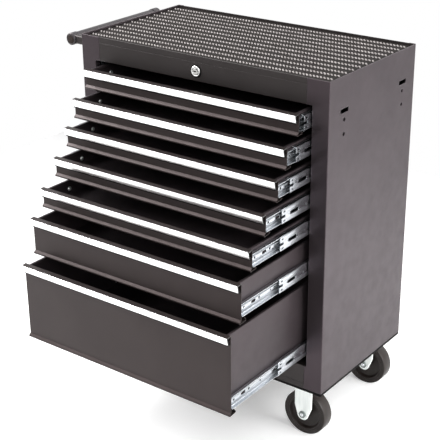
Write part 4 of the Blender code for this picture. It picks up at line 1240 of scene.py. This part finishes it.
# Name, place, what the lamp points at, width, height, power
LAMPS = (
    ("overhead", (-1.3, -0.8, 2.25), (0.0, -0.4, 0.4), 1.8, 1.5, 56.0),
    ("right", (2.2, 0.2, 1.0), (0.3, 0.2, 0.3), 1.4, 1.4, 72.0),
    ("left", (-2.2, -0.3, 1.7), (-0.3, 0.0, 0.2), 1.3, 1.3, 60.0),
    ("camera_side", (1.9, -2.4, 2.4), (0.2, -0.1, 0.3), 1.4, 1.4, 45.0),
    ("back", (0.9, 2.6, 2.2), (0.5, 0.8, 0.0), 1.8, 1.8, 60.0),
)
CAMERA_PLACE = (1.39662, -1.77619, 1.39839)
CAMERA_YAW = math.radians(36.966)
CAMERA_PITCH = math.radians(23.476)
CAMERA_ROLL = math.radians(-0.5237)
CAMERA_LENS = 94.417


def seen_level(tree, hidden, seen):
    """A level that is `seen` to the camera, to gloss and to glass, and `hidden` to soft light."""
    path = tree.nodes.new("ShaderNodeLightPath")
    total = path.outputs["Is Camera Ray"]
    for name in ("Is Glossy Ray", "Is Transmission Ray"):
        either = tree.nodes.new("ShaderNodeMath")
        either.operation = "MAXIMUM"
        tree.links.new(total, either.inputs[0])
        tree.links.new(path.outputs[name], either.inputs[1])
        total = either.outputs[0]
    level = tree.nodes.new("ShaderNodeMapRange")
    level.inputs["To Min"].default_value = hidden
    level.inputs["To Max"].default_value = seen
    tree.links.new(total, level.inputs["Value"])
    return level.outputs["Result"]


def floor():
    """A wide pale floor, bright enough to come out white, that keeps the cart's shadow."""
    bm = bmesh.new()
    add_plate(bm, FLOOR_OUTLINE, "XY", -FLOOR_THICKNESS, 0)
    obj = piece("studio_floor", bm, None, None, 0)
    finish = Finish("studio_floor")
    cloud = finish.noise(scale=0.6, detail=2.0)
    finish.colour(cloud, [(0.3, (0.90, 0.90, 0.90)), (0.7, (0.92, 0.92, 0.92))])
    finish.set(Roughness=0.9, Emission_Color=(1, 1, 1, 1))
    tree = finish.material.node_tree
    glow = seen_level(tree, 0.0, FLOOR_GLOW)
    tree.links.new(glow, finish.shader.inputs["Emission Strength"])
    obj.data.materials.append(finish.material)


def world():
    """A white backdrop in a dim room: white where it is seen or mirrored, faint as a light."""
    studio = bpy.data.worlds.new("studio")
    studio.use_nodes = True
    background = studio.node_tree.nodes["Background"]
    background.inputs["Color"].default_value = (1, 1, 1, 1)
    level = seen_level(studio.node_tree, ROOM_LEVEL, 1.0)
    studio.node_tree.links.new(level, background.inputs["Strength"])
    bpy.context.scene.world = studio


def area_lamp(name, place, aim, width, height, power):
    lamp = bpy.data.lights.new(name, "AREA")
    lamp.shape = "RECTANGLE"
    lamp.size = width
    lamp.size_y = height
    lamp.energy = power
    obj = bpy.data.objects.new(name, lamp)
    obj.location = place
    direction = Vector(aim) - Vector(place)
    obj.rotation_euler = direction.to_track_quat("-Z", "Y").to_euler()
    obj.visible_camera = False
    bpy.context.scene.collection.objects.link(obj)


def camera():
    """The photo's camera, from its yaw, its pitch down and its roll."""
    level = math.cos(CAMERA_PITCH)
    right = Vector((math.cos(CAMERA_YAW), math.sin(CAMERA_YAW), 0))
    ahead = Vector(
        (-math.sin(CAMERA_YAW) * level, math.cos(CAMERA_YAW) * level, -math.sin(CAMERA_PITCH))
    )
    up = right.cross(ahead)
    across = right * math.cos(CAMERA_ROLL) + up * math.sin(CAMERA_ROLL)
    upright = up * math.cos(CAMERA_ROLL) - right * math.sin(CAMERA_ROLL)
    lens = bpy.data.cameras.new("photo_camera")
    lens.lens = CAMERA_LENS
    lens.sensor_width = 36
    lens.clip_end = 100
    obj = bpy.data.objects.new("photo_camera", lens)
    obj.matrix_world = Matrix(
        (
            (across.x, upright.x, -ahead.x, CAMERA_PLACE[0]),
            (across.y, upright.y, -ahead.y, CAMERA_PLACE[1]),
            (across.z, upright.z, -ahead.z, CAMERA_PLACE[2]),
            (0, 0, 0, 1),
        )
    )
    bpy.context.scene.collection.objects.link(obj)
    bpy.context.scene.camera = obj


bpy.context.scene.view_settings.view_transform = "Standard"
camera()
world()
floor()
for lamp_data in LAMPS:
    area_lamp(*lamp_data)

DRAWER_LIST = [Drawer(number + 1) for number in range(DRAWERS)]
for item in DRAWER_LIST:
    drawer_front(item)
    drawer_pan(item)
    pan_rivets(item)
    drawer_trim(item)
drawer_rails()
middle_rails()
base_shade_line()
rack_tabs()
tray_mat()
wheels()
rigid_forks()
axles()
swivel_forks()
lock()
handle()
paint_nodes()
